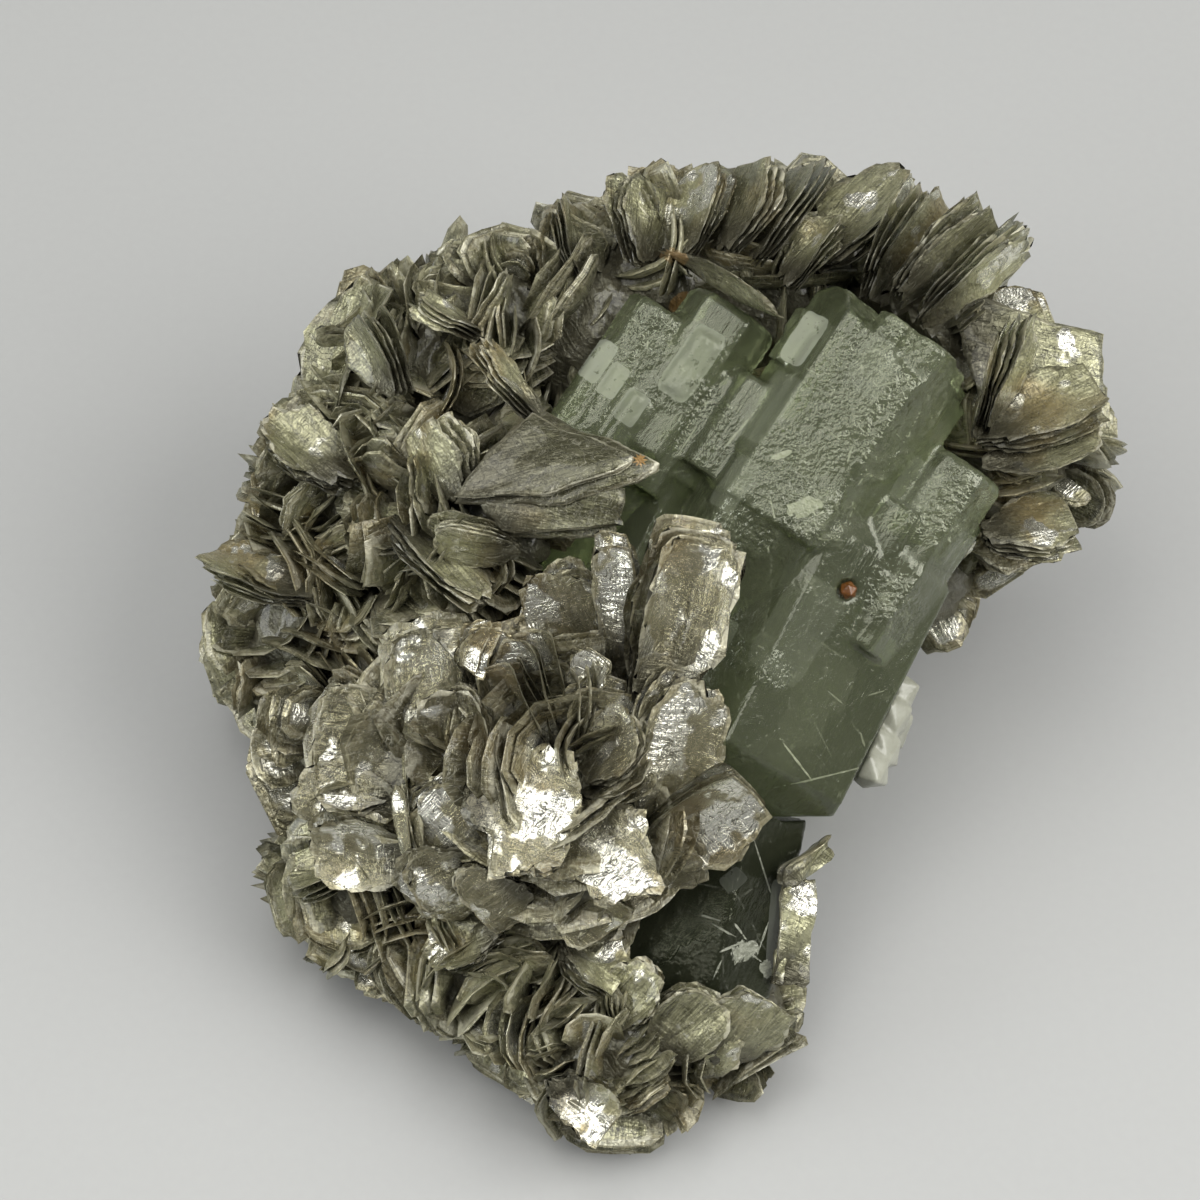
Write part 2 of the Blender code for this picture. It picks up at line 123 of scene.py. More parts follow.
# shader maths: Python's operators on a Wire, one socket's value, add Math nodes
class Wire:
    def __init__(self, paint, socket):
        self.paint = paint
        self.socket = socket

    def __add__(self, other):
        return self.paint.maths("ADD", self, other)

    def __radd__(self, other):
        return self.paint.maths("ADD", other, self)

    def __sub__(self, other):
        return self.paint.maths("SUBTRACT", self, other)

    def __rsub__(self, other):
        return self.paint.maths("SUBTRACT", other, self)

    def __mul__(self, other):
        return self.paint.maths("MULTIPLY", self, other)

    def __rmul__(self, other):
        return self.paint.maths("MULTIPLY", other, self)

    def __truediv__(self, other):
        return self.paint.maths("DIVIDE", self, other)

    def __rtruediv__(self, other):
        return self.paint.maths("DIVIDE", other, self)

    def __pow__(self, other):
        return self.paint.maths("POWER", self, other)


class Paint:
    # one material and the ways its nodes are added
    def __init__(self, name, show=(0.3, 0.3, 0.25)):
        self.material = bpy.data.materials.new(name)
        self.material.use_nodes = True
        self.material.diffuse_color = (*show, 1.0)
        self.tree = self.material.node_tree
        self.tree.nodes.clear()
        self.place = self.add("ShaderNodeTexCoord", output="Object")

    def add(self, kind, settings=None, sockets=None, output=0):
        # any node: its settings come first, then the values or links of its sockets
        node = self.tree.nodes.new(kind)
        for key, value in (settings or {}).items():
            if key == "stops":
                ramp = node.color_ramp
                while len(ramp.elements) < len(value):
                    ramp.elements.new(0.5)
                for stop, (position, colour) in zip(ramp.elements, value):
                    stop.position, stop.color = position, (*colour, 1.0)
            else:
                setattr(node, key, value)
        for key, value in (sockets or {}).items():
            socket = node.inputs[key]
            if isinstance(value, Wire):
                self.tree.links.new(value.socket, socket)
            else:
                socket.default_value = (*value, 1.0) if socket.type == "RGBA" else value
        return Wire(self, node.outputs[output]) if node.outputs else None

    def maths(self, operation, *terms):
        return self.add("ShaderNodeMath", {"operation": operation}, dict(enumerate(terms)))

    def smooth(self, value, low, high):
        # 0 below low, 1 above high, eased between; low may be the larger
        sockets = {"Value": value, "From Min": low, "From Max": high}
        return self.add("ShaderNodeMapRange", {"interpolation_type": "SMOOTHSTEP"}, sockets)

    def field(self, name):
        return self.add("ShaderNodeAttribute", {"attribute_name": name}, output="Fac")

    def sheet(self):
        return self.add("ShaderNodeUVMap", {"uv_map": "sheet"})

    def stretch(self, vector, scale, shift=(0.0, 0.0, 0.0)):
        return self.add("ShaderNodeMapping", None, {"Vector": vector, "Scale": scale, "Location": shift})

    def bundle(self, x, y, z):
        return self.add("ShaderNodeCombineXYZ", None, {"X": x, "Y": y, "Z": z})

    def noise(self, vector, scale, detail=3.0, rough=0.55, warp=0.0, kind="3D"):
        sockets = {"Vector": vector, "Scale": scale, "Detail": detail, "Roughness": rough, "Distortion": warp}
        return self.add("ShaderNodeTexNoise", {"noise_dimensions": kind}, sockets)

    def cells(self, vector, scale, feature="F1"):
        return self.add("ShaderNodeTexVoronoi", {"feature": feature}, {"Vector": vector, "Scale": scale})

    def blend(self, share, first, second):
        return self.add("ShaderNodeMix", {"data_type": "RGBA"}, {0: share, 6: first, 7: second}, output=2)

    def bump(self, height, strength, distance, below=None):
        sockets = {"Height": height, "Strength": strength, "Distance": distance}
        if below is not None:
            sockets["Normal"] = below
        return self.add("ShaderNodeBump", None, sockets)

    def shader(self, sockets):
        return self.add("ShaderNodeBsdfPrincipled", None, sockets)

    def finish(self, surface, volume=None):
        ends = {"Surface": surface} if volume is None else {"Surface": surface, "Volume": volume}
        self.add("ShaderNodeOutputMaterial", None, ends)
        return self.material


def floorPaint():
    paint = Paint("floorPaper")
    grain = paint.noise(paint.place, 900.0, 1.0)
    tint = studio["floorColour"]
    darker = tuple(0.96 * part for part in tint)
    return paint.finish(paint.shader({"Base Color": paint.blend(grain, darker, tint), "Roughness": 0.45}))


def facePlace(paint):
    # the place of a shaded point on the show face, in mm
    parts = paint.add("ShaderNodeSeparateXYZ", None, {"Vector": paint.place}).socket.node.outputs
    x, y, z = (Wire(paint, part) * 1000.0 - float(middle) for part, middle in zip(parts, faceCentre))
    up, out = faceAxes[1], faceAxes[2]
    return x, y * float(up[1]) + z * float(up[2]), y * float(out[1]) + z * float(out[2])


def spotMask(paint, u, v, fray, spots, blunt=False):
    # the greatest of the spots' own shares: along^2 + across^2, or to the fourth for blunt boxes
    total = None
    for midU, midV, halfU, halfV, degrees, strength in spots:
        cosine, sine = math.cos(math.radians(degrees)), math.sin(math.radians(degrees))
        along = ((u - midU) * cosine + (v - midV) * sine) / halfU
        across = ((v - midV) * cosine - (u - midU) * sine) / halfV
        along, across = along * along, across * across
        if blunt:
            along, across = along * along * along, across * across * across
        share = paint.smooth(along + across + fray, 1.15, 0.85) * strength
        total = share if total is None else paint.maths("MAXIMUM", total, share)
    return total


def micaPaint(name, look):
    # shiny cleavage faces with silky streaks; a rim of many fine sheets, seen as light and dark lines; painted
    # shade darkens each book towards its foot
    paint = Paint(name)
    shade, rim, layer, reach = (paint.field(key) for key in ("shade", "rim", "layer", "reach"))
    sheet = paint.sheet()
    cloud = paint.noise(sheet, 0.34, 3.0, 0.6, 0.0, "2D")
    streak = paint.noise(paint.stretch(sheet, (0.24, 2.6, 1.0)), 1.0, 2.5, 0.68, 1.1, "2D")
    scratch = paint.noise(paint.stretch(sheet, (2.4, 0.3, 1.0)), 1.0, 2.0, 0.65, 1.6, "2D")
    crumple = paint.noise(sheet, 0.7, 2.5, 0.55, 0.0, "2D")
    strata = paint.bundle(layer * look["lines"], shade * 91.0, reach * 2.4 + cloud * 1.2)
    lines = paint.noise(strata, 1.0, 1.5, 0.75)
    onRim = paint.smooth(rim + crumple * 0.3 - 0.15, 0.15, 0.75)
    wrinkle = paint.noise(sheet, look["wrinkles"], 4.0, 0.62, 1.2, "2D")
    wrinkle = paint.smooth(paint.maths("ABSOLUTE", wrinkle - 0.5), 0.022, 0.003)
    silk = paint.noise(paint.stretch(sheet, (0.20, 0.85, 1.0)), 1.0, 3.0, 0.6, 1.5, "2D")
    silk = paint.smooth(paint.maths("ABSOLUTE", silk - 0.5), 0.016, 0.002)
    crease = wrinkle
    wrinkle = paint.maths("MAXIMUM", wrinkle, silk * 0.8)

    light = paint.smooth(shade * 0.7 + cloud * 0.25 + streak * 1.0 - 0.12, look["paleFrom"], look["paleTo"])
    face = paint.blend(light, look["dark"], look["pale"])
    brown = paint.smooth(paint.noise(paint.place, 95.0, 2.0) + shade * 0.18 - 0.09, 0.50, 0.68)
    face = paint.blend(brown * look["brownShare"], face, look["brown"])
    ramp = {"stops": look["lineStops"]}
    edge = paint.add("ShaderNodeValToRGB", ramp, {"Fac": lines})
    edge = paint.blend(0.25, edge, face)
    colour = paint.blend(onRim * 0.85, face, edge)
    # painted shade: each book darkens to the foot shade colour towards its foot, deep in the rosette
    depth = paint.smooth(reach, look["footShadeFrom"], look["footShadeTo"])
    colour = paint.blend(1.0 - depth, colour, look["footShade"])

    patch = paint.noise(paint.stretch(sheet, (1.0, 1.0, 1.0), (7.0, 3.0, 0.0)), 0.22, 3.0, 0.55, 0.0, "2D")
    mirror = paint.smooth(patch + shade * 0.35, look["mirrorFrom"], look["mirrorFrom"] + 0.08)
    # the mirror patches and the wrinkles fade out in the painted foot shade
    colour = paint.blend(mirror * (1.0 - onRim) * depth, colour, look["mirror"])
    line = paint.blend(mirror, look["wrinkle"], look["crease"])
    colour = paint.blend(wrinkle * (look["wrinkleShare"] + mirror * 0.3) * (0.3 + 0.7 * depth), colour, line)
    u, v, w = facePlace(paint)
    starU, starV = u - look["star"][0], v - look["star"][1]
    needles = paint.maths("ABSOLUTE", paint.maths("SINE", paint.maths("ARCTAN2", starV, starU) * 4.5))
    star = (starU * starU + starV * starV) ** 0.5 / look["star"][2] + needles * 0.45 + (streak - 0.5) * 0.9
    star = paint.smooth(star, 1.05, 0.75) * paint.smooth(w, 7.0, 8.0) * 0.75
    stain = spotMask(paint, u, v, (cloud - 0.5) * 3.0, look["stains"])
    colour = paint.blend(paint.maths("MAXIMUM", star, stain), colour, look["rust"])
    metallic = look["metallic"] + mirror * 0.3 - onRim * 0.25 - star * 0.5
    roughness = look["roughness"] + cloud * 0.18 + onRim * 0.12 - mirror * 0.12

    fine = streak * 0.3 + scratch * 0.25 + crumple * 1.1
    normal = paint.bump(fine, look["bump"], 0.0005)
    normal = paint.bump(lines * rim - crease * 0.5, look["rimBump"], 0.00025, normal)
    sockets = {
        "Base Color": colour, "Metallic": metallic, "Roughness": roughness, "Normal": normal,
        "IOR": 1.58, "Specular Tint": (0.95, 1.0, 0.84), "Coat Weight": 0.3, "Coat Roughness": 0.08,
    }
    if look["see"] > 0.0:
        solid = onRim * 0.6 + mirror + wrinkle * 0.3 + (1.0 - depth) + streak * 0.35
        paint.material.use_transparent_shadow = False
        sockets["Alpha"] = paint.maths("MINIMUM", 1.0 - look["see"] + look["see"] * solid, 1.0)
    return paint.finish(paint.shader(sockets))


def meshPiece(name, points, triangles, quads, material, fields=None, sheet=None, sharp=32.0):
    # points in mm; triangles and quads hold point numbers; fields and sheet have one row a point
    mesh = bpy.data.meshes.new(name)
    corners = np.concatenate([triangles.ravel(), quads.ravel()]).astype(np.int32)
    starts = np.concatenate([np.arange(len(triangles)) * 3, len(triangles) * 3 + np.arange(len(quads)) * 4])
    mesh.vertices.add(len(points))
    mesh.vertices.foreach_set("co", (points * mm).astype(np.float32).ravel())
    mesh.loops.add(len(corners))
    mesh.loops.foreach_set("vertex_index", corners)
    mesh.polygons.add(len(starts))
    mesh.polygons.foreach_set("loop_start", starts.astype(np.int32))
    mesh.polygons.foreach_set("use_smooth", np.ones(len(starts), bool))
    mesh.update(calc_edges=True)
    mesh.validate()
    for key, values in (fields or {}).items():
        mesh.attributes.new(key, "FLOAT", "POINT").data.foreach_set("value", values.astype(np.float32).ravel())
    if sheet is not None:
        order = np.empty(len(mesh.loops), np.int32)
        mesh.loops.foreach_get("vertex_index", order)
        mesh.uv_layers.new(name="sheet").data.foreach_set("uv", sheet[order].astype(np.float32).ravel())
    mesh.set_sharp_from_angle(angle=math.radians(sharp))
    return place(bpy.data.objects.new(name, mesh), material)


def place(made, material):
    made.data.materials.clear()
    made.data.materials.append(material)
    bpy.context.scene.collection.objects.link(made)
    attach(made, "root")
    return made


def closedGrid(rings, around):
    # faces of a closed skin whose first and last rings are single points; rings lie between them
    ring = np.arange(rings)[:, None] * around + 1
    step = np.arange(around)
    after = (step + 1) % around
    last = rings * around + 1
    top = np.stack([np.zeros(around, int), 1 + step, 1 + after], axis=1)
    bottom = np.stack([np.full(around, last), ring[-1] + after, ring[-1] + step], axis=1)
    low, high = ring[:-1], ring[1:]
    quads = np.stack([low + step, high + step, high + after, low + after], axis=-1).reshape(-1, 4)
    return np.concatenate([top, bottom]), quads


# crystals: six-sided prisms, listed as the solids list them
stoutAxis = {"middle": (17.0, 4.2, 0.0), "axis": 63.0, "roll": -30.0}
fingerAxis = {"middle": (17.0, 4.2, 0.0), "axis": 56.0, "roll": -8.0}
lowAxis = {"middle": (12.2, -32.5, -4.5), "axis": 78.0, "roll": -20.0}
hexFlat = math.cos(math.radians(30.0))
mainPrisms = [  # start, end, across, out, radius
    (-32.0, 8.6, 5.2, -6.0, 16.2, stoutAxis),
    (-18.0, 14.0, -12.0, -7.0, 10.0, stoutAxis),
    (3.5, 28.6, -1.0, 2.0, 10.2, fingerAxis),
    (10.0, 27.4, 5.4, 2.8, 3.6, fingerAxis),
    (18.0, 24.4, -9.2, 4.4, 2.4, fingerAxis),
    (6.0, 20.4, 12.4, 2.2, 4.7, fingerAxis),
    (-2.0, 9.0, 12.4, 1.8, 5.4, fingerAxis),
    (2.5, 20.6, -17.0, -0.4, 5.4, fingerAxis),
    (9.4, 16.4, -17.4, 2.6, 2.6, fingerAxis),
    (2.0, 14.0, -12.0, 0.0, 4.0, fingerAxis),
    (-2.0, 16.4, -23.0, -0.6, 4.4, fingerAxis),
    (-1.0, 10.2, -25.2, 1.2, 2.1, fingerAxis),
    (-1.0, 8.9, -22.8, 2.2, 1.8, fingerAxis),
    (-1.0, 7.4, -19.8, 2.4, 2.2, fingerAxis),
]
lowerPrisms = [
    (-12.0, 14.0, 0.0, 0.0, 8.4, lowAxis),
    (-9.0, 12.0, -4.6, 1.4, 5.2, lowAxis),
]
brokenEnd = [((0.0, -1.0, 0.0), (0.0, -23.0, 0.0)), ((0.0, -0.75, 0.65), (25.0, -20.0, 4.0))]


def prismFrame(prism):
    start, end, across, out, radius, growth = prism
    angle, roll = math.radians(growth["axis"]), math.radians(growth["roll"])
    along = toward((math.cos(angle), math.sin(angle), 0.0))
    level = toward((math.sin(angle), -math.cos(angle), 0.0))
    upright = toward((0.0, 0.0, 1.0))
    middle = onFace(growth["middle"]) + across * level + out * upright
    side = math.cos(roll) * level - math.sin(roll) * upright
    front = math.cos(roll) * upright + math.sin(roll) * level
    return middle, along, side, front


def prismWalls(prism):
    # the eight half-spaces of a prism and the two of the broken end: outward normals and distances
    middle, along, side, front = prismFrame(prism)
    start, end, _, _, radius, growth = prism
    angles = np.radians(60.0 * np.arange(6))
    normals = np.cos(angles)[:, None] * front + np.sin(angles)[:, None] * side
    walls = [normals, along[None], -along[None]]
    distances = [normals @ middle + radius * hexFlat, [along @ middle + end], [-along @ middle - start]]
    for facing, point in brokenEnd:
        if growth is lowAxis:
            facing, point = (0.0, 0.0, 1.0), (0.0, 0.0, 500.0)
        walls.append(toward(facing)[None])
        distances.append([toward(facing) @ onFace(point)])
    return np.concatenate(walls), np.concatenate(distances)


crystalWalls = [prismWalls(prism) for prism in mainPrisms + lowerPrisms]
wallNormals = np.array([walls for walls, _ in crystalWalls])
wallDistances = np.array([distances for _, distances in crystalWalls])


def inCrystal(points, margin):
    depth = np.einsum("...k,pwk->...pw", points, wallNormals) - wallDistances
    return (depth < margin).all(axis=-1).any(axis=-1)


def reachCrystal(seed, directions, margin):
    # how far each ray from the seed goes before it comes within margin of a crystal
    slope = np.einsum("nk,pwk->npw", directions, wallNormals)
    room = wallDistances + margin - wallNormals @ seed
    with np.errstate(divide="ignore", invalid="ignore"):
        hit = room / slope
    enter = np.where(slope < -1e-9, hit, -1e9).max(axis=-1)
    leave = np.where(slope > 1e-9, hit, 1e9).min(axis=-1)
    blocked = ((np.abs(slope) <= 1e-9) & (room < 0.0)).any(axis=-1)
    meets = (enter < leave) & (enter > 0.0) & ~blocked
    return np.where(meets, enter, 1e9).min(axis=-1)


# the mica masses. A rosette: seed, reach, heart, aim, spread, large books, their width, turn.
# A book listed one by one: foot, tip, width, the way its flat side faces, thickness, tone (1 mirrors).
# A plate with an outline of its own: corners, thickness, tone, raggedness
frontRosette = {
    "node": "muscovite_front_rosette", "slot": "muscovite_silvery",
    "rosettes": [
        ((-2.7, -17.6, -2.0), 20.5, 16.0, (0.12, 0.05, 1.0), 86, 20, 12.5, 12),
        ((-23.6, -15.2, -9.0), 15.5, 12.0, (-0.6, 0.1, 0.8), 85, 10, 9.5, 12),
    ],
    "pale": 0.1, "fans": 30, "perFan": 5, "fanStep": 6.0, "lean": 30.0, "leanVaries": 26.0,
    "turnVaries": 40.0, "thick": 0.50, "wide": 1.0, "widthVaries": 0.4, "hexagon": 0.3, "bend": 0.16, "cup": 0.22,
    "wave": 0.05, "ragged": 0.07,
    "books": [
        ((5.4, -12.0, 11.5), (10.2, 9.4, 17.0), 9.8, (0.1, -0.25, 1.0), 0.9, 0.48),
        ((2.2, -9.0, 9.0), (1.4, 8.4, 15.6), 4.6, (-0.3, -0.2, 1.0), 0.7, 0.75),
        ((0.0, -11.0, 5.0), (-5.0, 3.4, 10.0), 9.5, (-0.3, 0.3, 1.0), 0.9, 0.4),
        ((-19.1, -16.3, 4.0), (-31.2, -15.2, 1.0), 14.5, (-0.45, 0.1, 1.0), 0.9, 0.35),
        ((-16.0, -15.6, 6.0), (-18.0, -1.8, 7.5), 12.0, (-0.3, 0.25, 1.0), 0.9, 0.45),
        ((-12.3, -9.2, 10.0), (-11.8, -2.2, 12.0), 6.0, (0.3, 0.2, 1.0), 0.7, 0.85),
        ((-13.7, -17.6, 9.0), (-13.4, -8.6, 12.6), 8.5, (-0.5, -0.1, 1.0), 0.8, 0.2),
        ((-5.0, -16.5, 9.5), (-10.8, -4.6, 13.2), 8.0, (-0.75, -0.35, 0.75), 0.8, 0.3),
        ((-4.6, -15.5, 10.0), (-6.8, -3.0, 13.4), 8.5, (-0.8, 0.1, 0.75), 0.8, 0.5),
        ((-3.6, -15.5, 11.0), (-2.6, -5.4, 14.8), 7.5, (-0.6, 0.3, 0.8), 0.8, 0.25),
        ((-2.5, -16.0, 11.0), (1.8, -8.0, 15.0), 8.5, (0.55, 0.3, 0.8), 0.8, 0.55),
        ((-2.0, -17.5, 11.0), (4.6, -13.0, 15.0), 8.0, (0.35, 0.65, 0.75), 0.8, 0.3),
        ((-1.6, -19.5, 11.0), (5.4, -18.4, 14.4), 7.0, (0.2, 0.8, 0.7), 0.8, 0.15),
        ((5.4, -27.0, 8.5), (9.8, -8.0, 11.2), 9.0, (0.5, -0.05, 0.9), 0.8, 0.6),
        ((3.4, -20.0, 10.5), (8.2, -5.5, 12.0), 7.0, (0.6, 0.15, 0.8), 0.8, 0.45),
        ((3.4, -27.0, 8.0), (15.8, -17.4, 11.3), 10.0, (0.35, -0.5, 0.9), 1.0, 0.68),
        ((2.0, -29.0, 8.0), (11.0, -26.0, 9.0), 8.5, (0.2, -0.7, 0.8), 1.0, 0.4),
        ((-2.8, -10.4, 14.0), (0.4, -5.2, 15.4), 4.2, (-0.1, 0.15, 1.0), 0.9, 0.95),
        ((-12.0, -26.0, 10.0), (-18.6, -19.4, 9.6), 8.6, (-0.4, -0.3, 1.0), 0.8, 0.7),
        ((-18.7, -27.0, 5.0), (-31.0, -25.0, 1.5), 8.4, (-0.3, -0.3, 1.0), 0.8, 0.5),
        ((-20.5, -22.0, 4.6), (-31.4, -20.0, 1.5), 7.4, (-0.35, -0.1, 1.0), 0.8, 0.3),
        ((-19.4, -30.0, 7.0), (-20.1, -19.4, 9.5), 3.2, (-0.9, 0.0, 0.5), 0.8, 0.6),
        ((-8.0, -29.0, 10.5), (-14.0, -32.5, 8.0), 9.0, (-0.2, -0.7, 0.8), 0.9, 0.5),
        ((-3.0, -30.0, 10.5), (2.0, -34.0, 8.0), 9.0, (0.1, -0.8, 0.7), 0.9, 0.5),
        ((-12.0, -27.0, 9.5), (-20.0, -30.5, 6.0), 9.0, (-0.3, -0.6, 0.8), 0.9, 0.4),
    ],
    "plates": [
        ([(-18.0, -3.4, 10.5), (-9.8, -2.0, 12.0), (-10.4, -4.2, 12.6), (-12.2, -9.2, 13.2), (-15.0, -6.0, 12.2)],
         0.8, 0.8, 0.4),
        ([(-12.4, -17.0, 11.8), (-4.6, -14.8, 13.4), (-0.6, -20.4, 15.2), (-3.8, -26.8, 16.0),
          (-10.8, -28.2, 15.0), (-13.8, -21.6, 12.8)], 0.9, 0.72, 1.7),
        ([(-2.6, -20.8, 11.8), (5.4, -21.2, 13.6), (6.8, -28.8, 15.4), (0.2, -31.6, 15.0), (-4.6, -27.0, 12.8)],
         0.9, 0.74, 1.7),
    ],
}
leftBank = {
    "node": "muscovite_left_bank", "slot": "muscovite",
    "rosettes": [
        ((-30.0, -3.2, -15.0), 15.5, 13.0, (-0.8, -0.1, 0.6), 96, 13, 8.0, 25),
        ((-24.4, 11.2, -15.0), 16.0, 13.6, (-0.7, 0.4, 0.7), 88, 11, 9.0, 50),
        ((-17.6, 23.0, -15.0), 16.5, 14.0, (-0.4, 0.7, 0.8), 88, 11, 9.0, 65),
        ((-9.6, 29.6, -11.0), 13.0, 10.5, (-0.1, 0.6, 0.8), 80, 8, 8.0, 75),
        ((-13.0, 8.6, -6.0), 16.0, 12.5, (-0.3, 0.1, 1.0), 80, 12, 8.5, 50),
    ],
    "pale": 0.0, "fans": 42, "perFan": 4, "fanStep": 6.5, "lean": 22.0, "leanVaries": 38.0,
    "turnVaries": 85.0, "thick": 0.60, "wide": 0.95, "widthVaries": 0.6, "hexagon": 0.6, "bend": 0.16, "cup": 0.12,
    "wave": 0.045, "ragged": 0.09,
    "books": [
        ((-31.5, 14.0, -9.0), (-21.5, 35.5, -8.0), 11.0, (-0.7, 0.4, 0.6), 2.8, 0.25),
        ((-14.2, 10.0, 7.0), (-17.5, 19.4, 6.0), 8.0, (-0.75, -0.3, 0.6), 2.6, 0.6),
        ((-6.4, 19.0, 4.5), (-13.0, 26.5, 6.0), 4.0, (0.75, 0.4, 0.5), 1.4, 0.6),
        ((-8.4, 5.2, 8.0), (-17.6, 7.0, 8.6), 5.6, (-0.1, -0.7, 0.7), 2.0, 0.35),
        ((-12.6, 28.0, 1.0), (-19.6, 31.9, 3.0), 3.6, (0.1, 0.85, 0.5), 1.4, 0.45),
        ((-21.8, 8.6, 4.6), (-12.8, -0.4, 8.6), 6.0, (0.5, 0.6, 0.65), 2.0, 0.35),
        ((-27.0, 12.0, -1.0), (-35.0, 19.0, -4.0), 7.0, (-0.3, 0.8, 0.45), 2.2, 0.3),
        ((-31.0, 0.0, -2.0), (-43.0, 4.0, -8.0), 7.0, (0.1, 0.8, 0.5), 1.8, 0.5),
        ((-21.0, 22.0, 0.5), (-25.0, 30.5, -3.0), 7.0, (-0.8, -0.2, 0.5), 2.4, 0.3),
    ],
    "plates": [
        ([(-15.3, 10.6, 11.4), (-5.6, 20.2, 6.8), (6.8, 13.8, 10.6), (4.4, 11.8, 10.9), (-4.0, 9.8, 11.6)],
         2.4, -0.25, 0.4),
        ([(-12.6, 10.6, 8.8), (2.9, 10.8, 9.4), (2.4, 7.0, 9.6), (-10.5, 6.4, 9.4)], 2.2, -0.1, 0.4),
    ],
}
crest = {
    "node": "muscovite_crest", "slot": "muscovite",
    "rosettes": [
        ((-1.0, 29.4, -14.0), 16.0, 13.5, (-0.2, 0.7, 0.8), 85, 10, 9.5, 70),
        ((8.0, 33.0, -14.0), 16.0, 13.5, (0.0, 0.8, 0.8), 85, 10, 10.0, 60),
        ((19.6, 32.6, -15.0), 16.6, 14.4, (0.1, 0.8, 0.7), 85, 11, 10.5, 45),
    ],
    "pale": -0.05, "fans": 19, "perFan": 4, "fanStep": 8.0, "lean": 14.0, "leanVaries": 34.0,
    "turnVaries": 75.0, "thick": 1.1, "wide": 1.1, "widthVaries": 0.45, "hexagon": 0.4, "bend": 0.14, "cup": 0.14,
    "wave": 0.04, "ragged": 0.08,
    "books": [
        ((6.5, 36.5, -3.0), (18.2, 27.4, 9.6), 6.5, (0.75, 0.6, 0.25), 1.2, 0.35),
        ((12.9, 36.5, -2.0), (18.4, 47.2, -5.5), 9.0, (-0.8, 0.3, 0.5), 1.7, 0.3),
        ((16.6, 36.0, -1.0), (23.5, 46.5, -5.0), 8.5, (-0.85, 0.3, 0.45), 1.7, 0.2),
        ((9.0, 36.6, -2.0), (12.0, 46.8, -6.0), 8.0, (-0.7, 0.3, 0.6), 1.6, 0.85),
        ((4.0, 36.0, -2.0), (5.0, 45.6, -6.5), 8.0, (0.7, 0.3, 0.6), 1.6, 0.3),
        ((22.4, 35.0, 0.0), (32.4, 45.0, -3.5), 9.0, (-0.45, 0.55, 0.65), 1.8, 0.45),
        ((19.6, 33.0, 1.5), (25.6, 39.6, 0.5), 6.5, (-0.75, 0.5, 0.5), 1.4, 0.35),
        ((-2.0, 34.0, -2.0), (-4.0, 42.5, -6.5), 8.0, (0.8, 0.3, 0.5), 1.6, 0.25),
    ],
}
rightBooks = {
    "node": "muscovite_right_books", "slot": "muscovite",
    "rosettes": [
        ((32.4, 26.0, -14.0), 17.4, 14.0, (0.6, 0.7, 0.35), 62, 10, 8.5, 85),
        ((42.8, 17.2, -14.0), 15.5, 12.5, (0.8, -0.1, 0.6), 88, 12, 10.0, 70),
        ((33.0, 5.0, -17.0), 13.0, 11.0, (0.8, -0.6, 0.3), 80, 9, 8.0, 75),
    ],
    "pale": 0.5, "fans": 17, "perFan": 4, "fanStep": 9.0, "lean": 4.0, "leanVaries": 26.0,
    "turnVaries": 65.0, "thick": 1.35, "wide": 0.9, "widthVaries": 0.5, "hexagon": 0.55, "bend": 0.09, "cup": 0.09,
    "wave": 0.03, "ragged": 0.08,
    "books": [
        ((28.0, 32.6, 3.0), (35.6, 44.4, -0.2), 7.5, (0.68, -0.44, 0.55), 1.5, 0.6),
        ((30.6, 31.4, 4.4), (41.4, 42.0, 1.2), 7.5, (0.6, -0.6, 0.5), 1.6, 0.4),
        ((33.6, 29.4, 4.0), (45.2, 39.4, 0.0), 7.0, (0.5, -0.7, 0.5), 1.4, 0.75),
        ((35.0, 27.0, 4.0), (46.6, 36.4, -1.0), 7.0, (0.5, -0.75, 0.4), 1.3, 0.5),
        ((32.0, 24.0, 4.0), (41.0, 28.6, 5.0), 7.0, (-0.35, 0.75, 0.6), 2.0, 0.85),
        ((38.8, 17.0, 4.0), (40.9, 29.0, 5.0), 7.0, (0.97, -0.15, 0.35), 1.6, 0.6),
        ((40.0, 17.6, 3.5), (44.2, 29.6, 4.0), 7.0, (0.92, -0.3, 0.35), 1.4, 0.4),
        ((40.0, 16.6, 2.6), (53.6, 22.0, 0.5), 8.0, (-0.3, 0.6, 0.75), 1.5, 0.6),
        ((40.4, 13.6, 2.6), (53.4, 17.6, 0.4), 8.0, (-0.15, 0.6, 0.75), 1.5, 0.45),
        ((41.0, 10.4, 2.0), (54.2, 13.2, -1.6), 8.5, (-0.1, 0.65, 0.7), 1.6, 0.8),
        ((40.4, 6.8, 1.4), (51.0, 8.6, -1.6), 8.0, (0.0, 0.65, 0.7), 1.5, 0.55),
        ((37.4, 4.6, -1.0), (43.6, 13.0, 0.0), 6.5, (0.7, -0.4, 0.6), 1.8, 0.7),
        ((36.0, 2.6, -2.0), (44.4, 6.4, -4.0), 7.0, (-0.3, 0.75, 0.6), 1.8, 0.5),
        ((34.0, -0.6, -4.0), (43.6, 1.6, -7.0), 7.0, (-0.2, 0.8, 0.6), 2.0, 0.6),
        ((38.0, 27.4, -6.0), (49.6, 31.4, -5.4), 8.0, (-0.2, 0.5, 1.0), 1.4, 0.95),
    ],
    "plates": [
        ([(37.7, 31.4, -2.6), (40.9, 32.4, -2.6), (53.6, 28.3, -1.6), (53.8, 21.5, -0.6), (47.3, 18.3, -0.2),
          (40.9, 18.1, -0.6)], 2.0, 0.4, 0.4),
    ],
}
